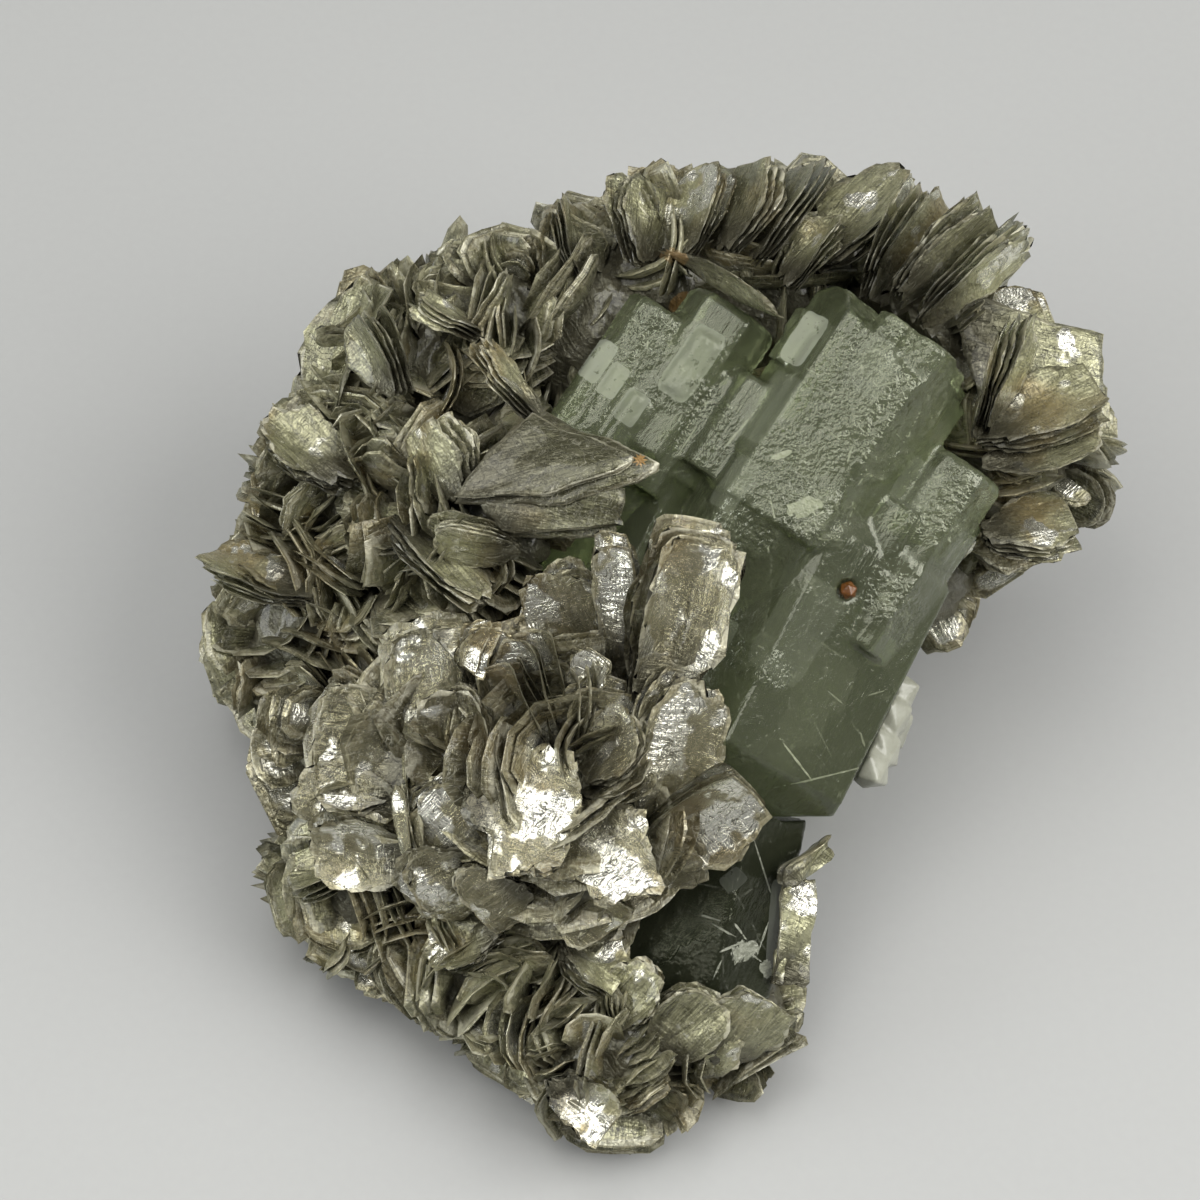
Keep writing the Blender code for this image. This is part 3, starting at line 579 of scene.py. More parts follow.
lowerSpray = {
    "node": "muscovite_lower_spray", "slot": "muscovite",
    "rosettes": [
        ((-23.8, -29.3, -9.0), 13.2, 10.8, (-0.6, -0.4, 0.8), 92, 12, 9.0, 20),
        ((-13.5, -36.5, -6.0), 12.5, 10.5, (-0.3, -0.7, 0.8), 85, 10, 9.0, 60),
        ((-1.5, -38.0, -8.0), 11.5, 10.0, (-0.1, -0.3, 0.9), 80, 7, 8.0, 60),
        ((1.6, -47.6, -2.0), 12.0, 10.0, (0.0, -0.7, 0.8), 92, 12, 8.5, 30),
        ((12.6, -44.0, -6.0), 10.5, 8.8, (0.6, -0.6, 0.5), 85, 7, 8.0, 40),
    ],
    "pale": 0.05, "fans": 32, "perFan": 5, "fanStep": 6.0, "lean": 28.0, "leanVaries": 32.0,
    "turnVaries": 55.0, "thick": 0.55, "wide": 0.95, "widthVaries": 0.5, "hexagon": 0.4, "bend": 0.18, "cup": 0.18,
    "wave": 0.09, "ragged": 0.08,
    "books": [
        ((-5.0, -49.6, 8.4), (1.8, -54.6, 7.2), 6.0, (-0.2, 0.1, 1.0), 1.4, 1.2),
        ((11.6, -49.0, 1.4), (18.4, -40.4, 5.0), 9.0, (0.3, -0.3, 1.0), 1.4, 0.4),
        ((14.8, -47.6, -0.6), (21.6, -38.8, 1.0), 8.0, (0.4, 0.0, 0.9), 1.4, 0.3),
        ((5.6, -48.0, 3.4), (12.0, -40.4, 6.0), 8.0, (0.0, -0.2, 1.0), 1.4, 0.3),
        ((9.0, -50.4, 1.0), (14.0, -44.0, 3.6), 7.0, (0.3, -0.1, 1.0), 1.4, 0.75),
        ((1.0, -44.0, 4.6), (6.0, -38.6, 6.6), 6.0, (-0.2, 0.3, 1.0), 1.4, 0.4),
        ((-10.0, -34.0, 5.0), (-17.5, -37.5, 3.0), 7.0, (-0.2, 0.5, 0.8), 1.6, 0.4),
        ((-4.0, -36.0, 5.0), (2.0, -41.0, 5.5), 7.0, (0.5, 0.6, 0.7), 1.6, 0.6),
        ((-24.0, -26.0, 1.0), (-32.5, -30.5, -3.0), 8.0, (-0.2, 0.6, 0.8), 1.8, 0.45),
    ],
    "plates": [
        ([(18.3, -40.8, 0.2), (22.2, -41.4, -1.4), (23.8, -28.4, -1.6), (20.0, -27.8, 0.4)], 1.4, 0.7, 0.6),
        ([(18.7, -29.6, 3.4), (19.8, -27.8, 3.0), (24.6, -24.8, -1.6), (23.8, -27.4, -1.6), (20.2, -30.6, 2.6)],
         2.0, 0.3, 0.5),
        ([(21.2, -28.8, -3.0), (25.0, -28.2, -4.0), (25.4, -23.4, -4.6), (21.4, -23.8, -3.8)], 1.0, 0.9, 0.6),
    ],
}
base = {
    "node": "muscovite_base", "slot": "muscovite",
    "rosettes": [
        ((-17.0, 15.0, -33.0), 20.0, 17.0, (-0.5, 0.7, -0.6), 84, 10, 10.0, 35),
        ((15.0, 15.0, -33.0), 21.0, 18.0, (0.5, 0.6, -0.6), 84, 10, 10.0, 35),
        ((0.0, -2.0, -26.0), 25.0, 23.5, (0.0, -1.0, 0.0), 70, 0, 8.0, 35),
    ],
    "pale": 0.0, "fans": 24, "perFan": 5, "fanStep": 5.0, "lean": 4.0, "leanVaries": 16.0,
    "turnVaries": 100.0, "thick": 0.8, "wide": 1.0, "widthVaries": 0.4, "hexagon": 0.6, "bend": 0.08, "cup": 0.08,
    "wave": 0.03, "ragged": 0.05,
}
micaMasses = [frontRosette, leftBank, crest, rightBooks, lowerSpray, base]
bookRules = {
    "root": 0.62,  # a book starts at this share of the heart's radius
    "least": 3.4,  # shorter books aren't grown
    "crossing": 2.4,  # how far books of one mass may cross into the next
    "floorGap": 0.35,
    "crystalGap": 0.35,
    "steps": (0.3, 0.4, 0.5, 0.6, 0.7, 0.8, 0.9, 1.0),
}

# profiles from the middle of the top to the middle of the underside: share of the outline, height,
# and how far the point belongs to the edge, where the ends of the sheets show
bookProfile = np.array([
    (0.0, 1.0, 0.0), (0.55, 0.94, 0.1), (0.80, 0.66, 0.8), (0.95, 0.26, 1.0), (1.0, -0.06, 1.0), (0.93, -0.44, 1.0),
    (0.72, -0.86, 0.6), (0.0, -1.0, 0.0),
])
fineProfile = np.array([
    (0.0, 1.0, 0.0), (0.20, 1.0, 0.0), (0.38, 1.0, 0.0), (0.56, 1.0, 0.0), (0.74, 1.0, 0.0), (0.90, 0.94, 0.05),
    (0.965, 0.50, 0.9), (1.0, 0.0, 1.0), (0.96, -0.60, 1.0), (0.80, -0.96, 0.2), (0.45, -1.0, 0.0),
    (0.0, -1.0, 0.0),
])


def cellWalls(mass, rosette):
    # half-spaces that hold a rosette's books: the floor, and where its neighbours' spheres take over
    seed, reach = onFace(rosette[0]), rosette[1]
    walls = [(np.array((0.0, 0.0, -1.0)), -bookRules["floorGap"])]
    for other in micaMasses:
        if other is mass:
            continue
        for neighbour in other["rosettes"]:
            across = onFace(neighbour[0]) - seed
            apart = np.linalg.norm(across)
            if apart < reach + neighbour[1]:
                share = (apart**2 + reach**2 - neighbour[1]**2) / (2.0 * apart)
                walls.append((across / apart, seed @ across / apart + share))
    return walls


def spreadBooks(rosette, count, spread, turn, turnVaries, lean, leanVaries, salt):
    # books spread evenly over a cap, each a golden turn on; lean opens them away from the aim
    seed, reach, heart, aim = onFace(rosette[0]), rosette[1], rosette[2], toward(rosette[3])
    order = np.arange(count)
    first = unit(np.cross(aim, faceAxes[1] + faceAxes[0]))
    second = np.cross(aim, first)
    cap = 1.0 - math.cos(math.radians(spread))
    tilt = np.arccos(1.0 - cap * (order + 0.4) / max(count, 1)) + 0.09 * shake(count, salt)
    bearing = goldenTurn * order + 0.25 * shake(count, salt + 20)
    radial = np.cos(bearing)[:, None] * first + np.sin(bearing)[:, None] * second
    spoke = np.cos(tilt)[:, None] * aim + np.sin(tilt)[:, None] * radial
    opened = tilt + np.radians(lean + leanVaries * shake(count, salt + 33))
    along = np.cos(opened)[:, None] * aim + np.sin(opened)[:, None] * radial
    petal = unit(np.cross(aim, radial))
    upright = np.cross(along, petal)
    turned = np.radians(turn + turnVaries * shake(count, salt + 40))
    wide = np.cos(turned)[:, None] * petal + np.sin(turned)[:, None] * upright
    return spoke, along, wide


def reachLength(spoke, along, root, reach):
    # from a foot at root along the spoke, how far to a sphere of that reach about the seed
    drift = root * (spoke * along).sum(axis=1)
    return -drift + np.sqrt(np.maximum(drift**2 - root**2 + reach**2, 1.0))


def turnAbout(rows, axis, angle):
    # each row turned about its own axis by its own angle
    cosine, sine = np.cos(angle)[:, None], np.sin(angle)[:, None]
    return rows * cosine + np.cross(axis, rows) * sine + axis * (axis * rows).sum(axis=1)[:, None] * (1.0 - cosine)


def fitBooks(foot, along, wide, length, width, thick, walls):
    # the largest share of each book's size that keeps it inside its walls and out of the crystals
    angles = np.radians(45.0 * np.arange(8))
    s, t = 0.5 + 0.5 * np.cos(angles), 0.5 * np.sin(angles)

    def outline(share):
        reachPart = s[None, :, None] * (length * share)[:, None, None] * along[:, None]
        widePart = t[None, :, None] * (width * share)[:, None, None] * wide[:, None]
        return foot[:, None] + reachPart + widePart

    share = np.ones(len(foot))
    flat = np.cross(along, wide)
    spans = outline(share) - foot[:, None]
    for normal, distance in walls:
        room = distance - foot @ normal - 0.6 * thick * np.abs(flat @ normal)
        most = (spans @ normal).max(axis=1)
        share = np.minimum(share, np.where(most > 1e-6, room / np.maximum(most, 1e-6), 1.0))
    share = np.clip(share, 0.0, 1.0)
    best = np.zeros(len(foot))
    for step in bookRules["steps"]:
        corners = outline(share * step)
        middle = corners.mean(axis=1, keepdims=True)
        samples = np.concatenate([corners, 0.5 * (corners + middle), middle], axis=1)
        touches = inCrystal(samples, bookRules["crystalGap"] + 0.5 * thick.max()).any(axis=1)
        best = np.where(touches, best, share * step)
    return best


def bookSkins(books, profile, around):
    # place = foot + along*L(1+x)/2 + wide*W*y/2 + flat*height, where x and y follow an outline between
    # a circle and a hexagon with a wavering edge, and the height is thickness plus bend, cup and waves
    n, rings = len(books["length"]), len(profile)
    step = 2.0 * np.pi * np.arange(around) / around
    share, level, edge = (profile[None, :, k, None] for k in range(3))
    column = {key: values[:, None, None] for key, values in books.items() if key != "outline"}
    theta = step + 0.5 * column["phase0"]
    corner = np.mod(step + 1e-6, np.pi / 3.0) - np.pi / 6.0
    outline = 1.0 + column["hexagon"] * (1.09 * hexFlat / np.cos(corner) - 1.0)
    if "outline" in books:
        theta, outline = np.broadcast_to(step, theta.shape), books["outline"][:, None, :]
    order = np.arange(rings)[None, :, None]
    phase = [column[f"phase{k}"] for k in range(5)]
    waver = 0.5 * np.sin(3.0 * theta + phase[1]) + 0.35 * np.sin(7.0 * theta + phase[2] + 0.7 * order)
    waver = waver + 0.5 * np.sin(13.0 * theta + phase[3] + 2.3 * order)
    notch = np.maximum(np.sin(2.0 * theta + phase[0]) + 0.6 * np.sin(5.0 * theta + phase[4]) - 0.5, 0.0)
    waver = waver - 1.4 * notch
    radius = share * outline * (1.0 + column["ragged"] * waver)
    x, y = radius * np.cos(theta), radius * np.sin(theta)
    if "outline" not in books:
        y = y * (1.0 + 0.22 * np.cos(theta))
        x = np.minimum(x, column["cutTip"] * (0.4 + 0.6 * share))
    length, width = column["length"], column["width"]
    s = 0.5 * (1.0 + x)
    height = level * 0.5 * column["thick"] * (0.7 + 0.4 * s)
    height = height + length * column["bend"] * (s - 0.3) ** 2 * np.sign(s - 0.3)
    height = height + width * column["cup"] * y**2
    height = height + length * column["wave"] * np.sin(5.0 * s + phase[4]) * np.sin(3.5 * y + phase[2])
    height = height + 0.4 * width * column["wave"] * np.sin(11.0 * s + phase[1]) * np.sin(9.0 * y - 4.0 * s)
    places = books["foot"][:, None, None] + (length * s)[..., None] * books["along"][:, None, None]
    places = places + (0.5 * width * y)[..., None] * books["wide"][:, None, None]
    places = places + height[..., None] * books["flat"][:, None, None]
    rim = np.broadcast_to(edge, s.shape)
    layer = np.broadcast_to(column["layer"] + 0.5 * level * column["thick"], s.shape)
    shade = np.broadcast_to(column["shade"], s.shape)
    sheet = np.stack([length * s + 60.0 * shade, 0.5 * width * y + 37.0 * shade], axis=-1)

    def joined(values):  # first and last rings become one point each
        middle = values[:, 1:-1].reshape(n, (rings - 2) * around, *values.shape[3:])
        return np.concatenate([values[:, 0, :1], middle, values[:, -1, :1]], axis=1)

    places, rim, layer, reach, shade, sheet = (joined(v) for v in (places, rim, layer, s, shade, sheet))
    triangles, quads = closedGrid(rings - 2, around)
    shift = (np.arange(n) * places.shape[1])[:, None, None]
    return {
        "points": places.reshape(-1, 3), "triangles": (triangles + shift).reshape(-1, 3),
        "quads": (quads + shift).reshape(-1, 4), "sheet": sheet.reshape(-1, 2),
        "fields": {"rim": rim.ravel(), "layer": layer.ravel(), "reach": reach.ravel(), "shade": shade.ravel()},
    }


def heartSkin(mass, rosette, salt, rows=30, around=60):
    # distance(direction) = the least of the rough heart's radius, the cell walls and the crystals
    seed = onFace(rosette[0])
    polar = np.linspace(0.0, np.pi, rows)
    bearing = 2.0 * np.pi * np.arange(around) / around
    up, turn = np.meshgrid(polar, bearing, indexing="ij")
    directions = np.stack([np.sin(up) * np.cos(turn), np.sin(up) * np.sin(turn), np.cos(up)], axis=-1)
    rays = directions.reshape(-1, 3)
    x, y, z = rays.T
    rough = (np.sin(9.0 * x + salt) * np.sin(8.0 * y - salt) * np.sin(10.0 * z)
             + 0.6 * np.sin(23.0 * x) * np.sin(21.0 * y + salt) * np.sin(26.0 * z + 1.0))
    reach = rosette[2] * (0.80 + 0.06 * rough)
    for normal, distance in cellWalls(mass, rosette):
        slope = rays @ normal
        room = distance - seed @ normal
        reach = np.where(slope > 1e-6, np.minimum(reach, room / np.maximum(slope, 1e-6)), reach)
    reach = np.minimum(reach, reachCrystal(seed, rays, bookRules["crystalGap"]))
    points = (seed + rays * np.maximum(reach, 0.5)[:, None]).reshape(rows, around, 3)
    points = np.concatenate([points[0, :1], points[1:-1].reshape(-1, 3), points[-1, :1]])
    triangles, quads = closedGrid(rows - 2, around)
    count = len(points)
    # painted shade: a reach of 0.05 gives the heart the foot shade colour all over, so it shows as dark shade
    # between the books
    fields = {"rim": np.full(count, 1.0), "layer": points[:, 2] * 0.7 + points[:, 0] * 0.3,
              "reach": np.full(count, 0.05), "shade": np.full(count, 0.2)}
    return {"points": points, "triangles": triangles, "quads": quads, "sheet": points[:, :2], "fields": fields}


def joinSkins(skins):
    offsets = np.cumsum([0] + [len(skin["points"]) for skin in skins[:-1]])
    return {
        "points": np.concatenate([skin["points"] for skin in skins]),
        "triangles": np.concatenate([skin["triangles"] + offset for skin, offset in zip(skins, offsets)]),
        "quads": np.concatenate([skin["quads"] + offset for skin, offset in zip(skins, offsets)]),
        "sheet": np.concatenate([skin["sheet"] for skin in skins]),
        "fields": {key: np.concatenate([skin["fields"][key] for skin in skins]) for key in skins[0]["fields"]},
    }


def sheafTable(foot, along, wide, length, width, thick, sheets, splay, mass, walls, salt, fill=1.0):
    # a book as several sheets from one foot: all share its bend, cup and outline, and part a little
    count = len(foot)
    flat = np.cross(along, wide)
    common = {
        "hexagon": np.clip(mass["hexagon"] + 0.35 * shake(count, salt + 1), 0.0, 1.0),
        "bend": mass["bend"] * (0.3 + shake(count, salt + 2)),
        "cup": mass["cup"] * (0.4 + shake(count, salt + 3)),
        "wave": mass["wave"] * (0.6 + 0.4 * shake(count, salt + 4)),
        "ragged": mass["ragged"] * (1.0 + 0.5 * shake(count, salt + 5)),
        "cutTip": 0.98 + 0.22 * shake(count, salt + 7),
    }
    for k in range(5):
        common[f"phase{k}"] = np.pi * shake(count, salt + 11 + k)
    bookShade = 0.5 + 0.5 * shake(count, salt + 6)
    tables = []
    for sheet in range(sheets):
        rank = sheet - 0.5 * (sheets - 1)
        own = salt + 20 + 7 * sheet
        tip = np.radians(splay * rank * (1.0 + 0.5 * shake(count, own)))
        sheetAlong = turnAbout(along, -wide, tip)
        sheetAlong = turnAbout(sheetAlong, flat, np.radians(3.0 * shake(count, own + 1)))
        sheetWide = unit(wide - sheetAlong * (sheetAlong * wide).sum(axis=1)[:, None])
        sheetFoot = foot + (rank * thick)[:, None] * flat
        size = 1.0 - 0.07 * (1.0 + shake(count, own + 2))
        size = size * fitBooks(sheetFoot, sheetAlong, sheetWide, length * size, width * size, thick, walls)
        table = dict(common, foot=sheetFoot, along=sheetAlong, wide=sheetWide, flat=np.cross(sheetAlong, sheetWide),
                     length=length * size, width=width * size, thick=fill * thick,
                     layer=rank * thick, shade=np.clip(bookShade + 0.12 * shake(count, own + 3), 0, 1))
        table["phase3"] = common["phase3"] + 1.9 * sheet
        table["phase2"] = common["phase2"] + (0.35 + 2.0 * (1.0 - fill)) * sheet
        table["phase1"] = common["phase1"] + 3.0 * (1.0 - fill) * sheet
        tables.append(table)
    return stackTables(tables)


def pick(table, kept):
    return {key: values[kept] for key, values in table.items()}


def stackTables(tables):
    return {key: np.concatenate([table[key] for table in tables]) for key in tables[0]}


def largeBooks(mass, rosette, number):
    # one for each flat blade of the solid
    seed, reach, heart, aim, spread, count, wideMm, turn = rosette
    spoke, along, wide = spreadBooks(rosette, count, spread, turn, 28.0, 0.0, 0.0, number)
    root = bookRules["root"] * heart
    length = reach * (1.0 + 0.06 * shake(count, number + 60)) - root
    width = wideMm * (1.0 + 0.25 * shake(count, number + 80))
    table = sheafTable(onFace(seed) + spoke * root, along, wide, length, width, np.full(count, 0.7), 2, 1.0, mass,
                       cellWalls(mass, rosette), number + 300)
    return pick(table, table["length"] > 5.0)


def smallBooks(mass, rosette, number):
    # fans of close leaves that fill the rosette between its large books; a fan's leaves share its shape
    seed, reach, heart, aim, spread, _, wideMm, turn = rosette
    count = mass["fans"]
    spoke, along, wide = spreadBooks(rosette, count, spread + 12.0, turn, mass["turnVaries"], mass["lean"],
                                     mass["leanVaries"], number + 500)
    root = bookRules["root"] * heart
    walls = [(normal, distance + (bookRules["crossing"] if k else 0.0))
             for k, (normal, distance) in enumerate(cellWalls(mass, rosette))]
    fanWide = 1.0 + mass["widthVaries"] * shake(count, number + 670)
    fanLong = 0.94 + 0.07 * shake(count, number + 690)
    fanStep = mass["fanStep"] * (1.0 + 0.5 * shake(count, number + 660))
    tables = []
    for book in range(mass["perFan"]):
        own = number + 700 + 31 * book
        rank = book - 0.5 * (mass["perFan"] - 1)
        angle = np.radians(fanStep * (rank + 0.45 * shake(count, own)))
        bookSpoke, bookAlong = turnAbout(spoke, wide, angle), turnAbout(along, wide, angle)
        bookWide = turnAbout(wide, bookAlong, np.radians(5.0 * shake(count, own + 1)))
        length = reachLength(bookSpoke, bookAlong, root, reach * (fanLong + 0.045 * shake(count, own + 2)))
        width = mass["wide"] * wideMm * fanWide * (1.0 + 0.18 * shake(count, own + 3))
        thick = mass["thick"] * (1.0 + 0.45 * shake(count, own + 4))
        table = sheafTable(onFace(seed) + bookSpoke * root, bookAlong, bookWide, length, width, thick,
                           1, 0.0, mass, walls, number + 740)
        table["shade"] = np.clip(table["shade"] + mass["pale"] + 0.25 * shake(count, own + 5), 0.0, 1.0)
        table["phase3"] = table["phase3"] + 1.7 * book
        table["layer"] = table["layer"] + 2.3 * book
        grown = (table["length"] > bookRules["least"]) & (shake(count, own + 6) > -0.72)
        tables.append(pick(table, grown))
    return stackTables(tables)


def bridges(mass):
    # lesser rosettes half way between neighbours of one mass, so that no bare groove parts them
    rows = mass["rosettes"]
    made = []
    for k, first in enumerate(rows):
        for second in rows[k + 1:]:
            apart = np.linalg.norm(np.subtract(first[0], second[0]))
            if apart < 0.95 * (first[2] + second[2]):
                middle = tuple(0.5 * np.add(first[0], second[0]))
                aim = tuple(np.add(first[3], second[3]))
                reach, heart = (0.5 * (first[n] + second[n]) for n in (1, 2))
                made.append((middle, 0.97 * reach, heart, aim, 62, 0, 0.5 * (first[6] + second[6]), first[7]))
    return made


def hiddenTips(mass, rosette, table):
    # books whose outer end lies inside another heart of the same mass
    ends = table["foot"] + table["along"] * table["length"][:, None]
    hidden = np.zeros(len(ends), bool)
    for other in mass["rosettes"]:
        if other is not rosette:
            hidden |= np.linalg.norm(ends - onFace(other[0]), axis=1) < 0.97 * other[2]
    return hidden


def plateTable(mass):
    # a plate's radius in each direction is the least distance to its sides, divided by the slope to them
    step = 2.0 * np.pi * np.arange(48) / 48
    rays = np.stack([np.cos(step), np.sin(step)], axis=1)
    tables = []
    for k, (corners, thick, tone, ragged) in enumerate(mass["plates"]):
        points = onFace(corners)
        middle = points.mean(axis=0)
        flat = np.linalg.svd(points - middle)[2][2]
        flat = flat * np.sign(flat @ faceAxes[2])
        along = unit(points[2] - points[0] - ((points[2] - points[0]) @ flat) * flat)
        wide = np.cross(flat, along)
        spot = np.stack([(points - middle) @ along, (points - middle) @ wide], axis=1)
        half = np.abs(spot).max(axis=0)
        spot = spot / half
        after = np.roll(spot, -1, axis=0)
        side = np.stack([after[:, 1] - spot[:, 1], spot[:, 0] - after[:, 0]], axis=1)
        gap = (side * spot).sum(axis=1)
        side, gap = side * np.sign(gap)[:, None], np.abs(gap)
        slope = rays @ side.T
        radius = np.where(slope > 1e-6, gap / np.maximum(slope, 1e-6), 1e3).min(axis=1)
        calm = dict(mass, bend=0.2 * mass["bend"], cup=0.1 * mass["cup"], ragged=ragged * mass["ragged"])
        foot = (middle - along * half[0])[None]
        table = sheafTable(foot, along[None], wide[None], np.array([2.0 * half[0]]), np.array([2.0 * half[1]]),
                           np.array([thick / 2.0]), 2, 0.3, calm, [], 950 + k)
        tables.append(dict(table, outline=np.repeat(radius[None], 2, axis=0), shade=np.full(2, tone)))
    return stackTables(tables)


def singleTable(mass):
    # books listed one by one, each a sheaf of a few leaves from its foot to its tip
    feet, tips, width, facing, thick, tone = (np.array(column) for column in zip(*mass["books"]))
    foot = onFace(feet)
    reach = onFace(tips) - foot
    wide = unit(np.cross(toward(facing), reach))
    calm = dict(mass, bend=0.7 * mass["bend"], cup=0.9 * mass["cup"], ragged=1.3 * mass["ragged"])
    leaves, splay, fill = (3, 3.2, 0.5) if mass["slot"] == "muscovite_silvery" else (4, 2.2, 0.85)
    table = sheafTable(foot, unit(reach), wide, 1.06 * np.linalg.norm(reach, axis=1), 1.08 * width,
                       np.maximum(thick, 0.9) / leaves, leaves, splay, calm, [], 900, fill)
    tone = np.tile(tone, leaves)
    table["shade"] = np.maximum(tone + 0.08 * shake(len(tone), 905), 0.0)
    return pick(table, table["length"] > 1.5)


micaLook = {
    "dark": (0.062, 0.059, 0.031), "pale": (0.33, 0.322, 0.195), "paleFrom": 0.40, "paleTo": 1.05,
    "brown": (0.235, 0.165, 0.066), "brownShare": 0.62,
    "footShade": (0.07, 0.064, 0.042), "footShadeFrom": 0.15, "footShadeTo": 0.60,  # painted shade, darker towards the foot of a book, deep among the other books
    "mirror": (0.74, 0.73, 0.64), "mirrorFrom": 0.80, "metallic": 0.55, "roughness": 0.17,
    "wrinkle": (0.50, 0.48, 0.38), "wrinkles": 0.55, "wrinkleShare": 0.35, "crease": (0.10, 0.092, 0.062),
    "lines": 3.6, "bump": 0.6, "rimBump": 0.9, "see": 0.0,
    "lineStops": [
        (0.38, (0.018, 0.016, 0.009)), (0.45, (0.10, 0.09, 0.05)), (0.50, (0.34, 0.32, 0.22)),
        (0.54, (0.10, 0.08, 0.04)), (0.62, (0.52, 0.50, 0.39)),
    ],
    # u, v, size of the rust star; stains as u, v, half width, half height, turn, strength
    "star": (4.1, 14.4, 0.9), "rust": (0.34, 0.19, 0.06),
    "stains": [(9.2, 31.6, 1.7, 1.2, 25.0, 0.6), (7.7, 36.6, 0.8, 1.5, 60.0, 0.4)],
}
micaPaints = {
    "muscovite_silvery": micaPaint("silveryMica", dict(
        micaLook, dark=(0.085, 0.072, 0.034), pale=(0.40, 0.37, 0.23), mirrorFrom=0.70, see=0.68, wrinkleShare=0.6,
        wrinkles=0.42, roughness=0.13)),
    "muscovite": micaPaint("mica", micaLook),
}


def makeMica(mass, firstNumber):
    skins = []
    for k, rosette in enumerate(mass["rosettes"]):
        number = firstNumber + k
        large = largeBooks(mass, rosette, number) if rosette[5] else None
        small = smallBooks(mass, rosette, number)
        small = pick(small, ~hiddenTips(mass, rosette, small))
        if large is not None and len(large["length"]):
            skins.append(bookSkins(large, bookProfile, 24))
        if len(small["length"]):
            skins.append(bookSkins(small, bookProfile, 12))
        skins.append(heartSkin(mass, rosette, number))
    for k, rosette in enumerate(bridges(mass)):
        small = smallBooks(dict(mass, fans=mass["fans"] // 2), rosette, 60 + firstNumber + k)
        small = pick(small, ~hiddenTips(mass, rosette, small))
        skins.append(bookSkins(small, bookProfile, 12))
    if "books" in mass:
        skins.append(bookSkins(singleTable(mass), fineProfile, 32))
    if "plates" in mass:
        skins.append(bookSkins(plateTable(mass), fineProfile, 48))
    skin = joinSkins(skins)
    # low points are eased up: 0.06 + 0.54 e^((z - 0.6) / 0.54) mm
    height = skin["points"][:, 2]
    eased = 0.06 + 0.54 * np.exp((np.minimum(height, 0.6) - 0.6) / 0.54)
    skin["points"][:, 2] = np.where(height < 0.6, eased, height)
    made = meshPiece(mass["node"].replace("muscovite", "mica"), skin["points"], skin["triangles"], skin["quads"],
                     micaPaints[mass["slot"]], skin["fields"], skin["sheet"])
    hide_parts(mass["node"])
    print(mass["node"], "triangles", len(skin["triangles"]) + 2 * len(skin["quads"]))


rosetteNumber = 0
for mass in micaMasses:
    makeMica(mass, rosetteNumber)
    rosetteNumber += len(mass["rosettes"])


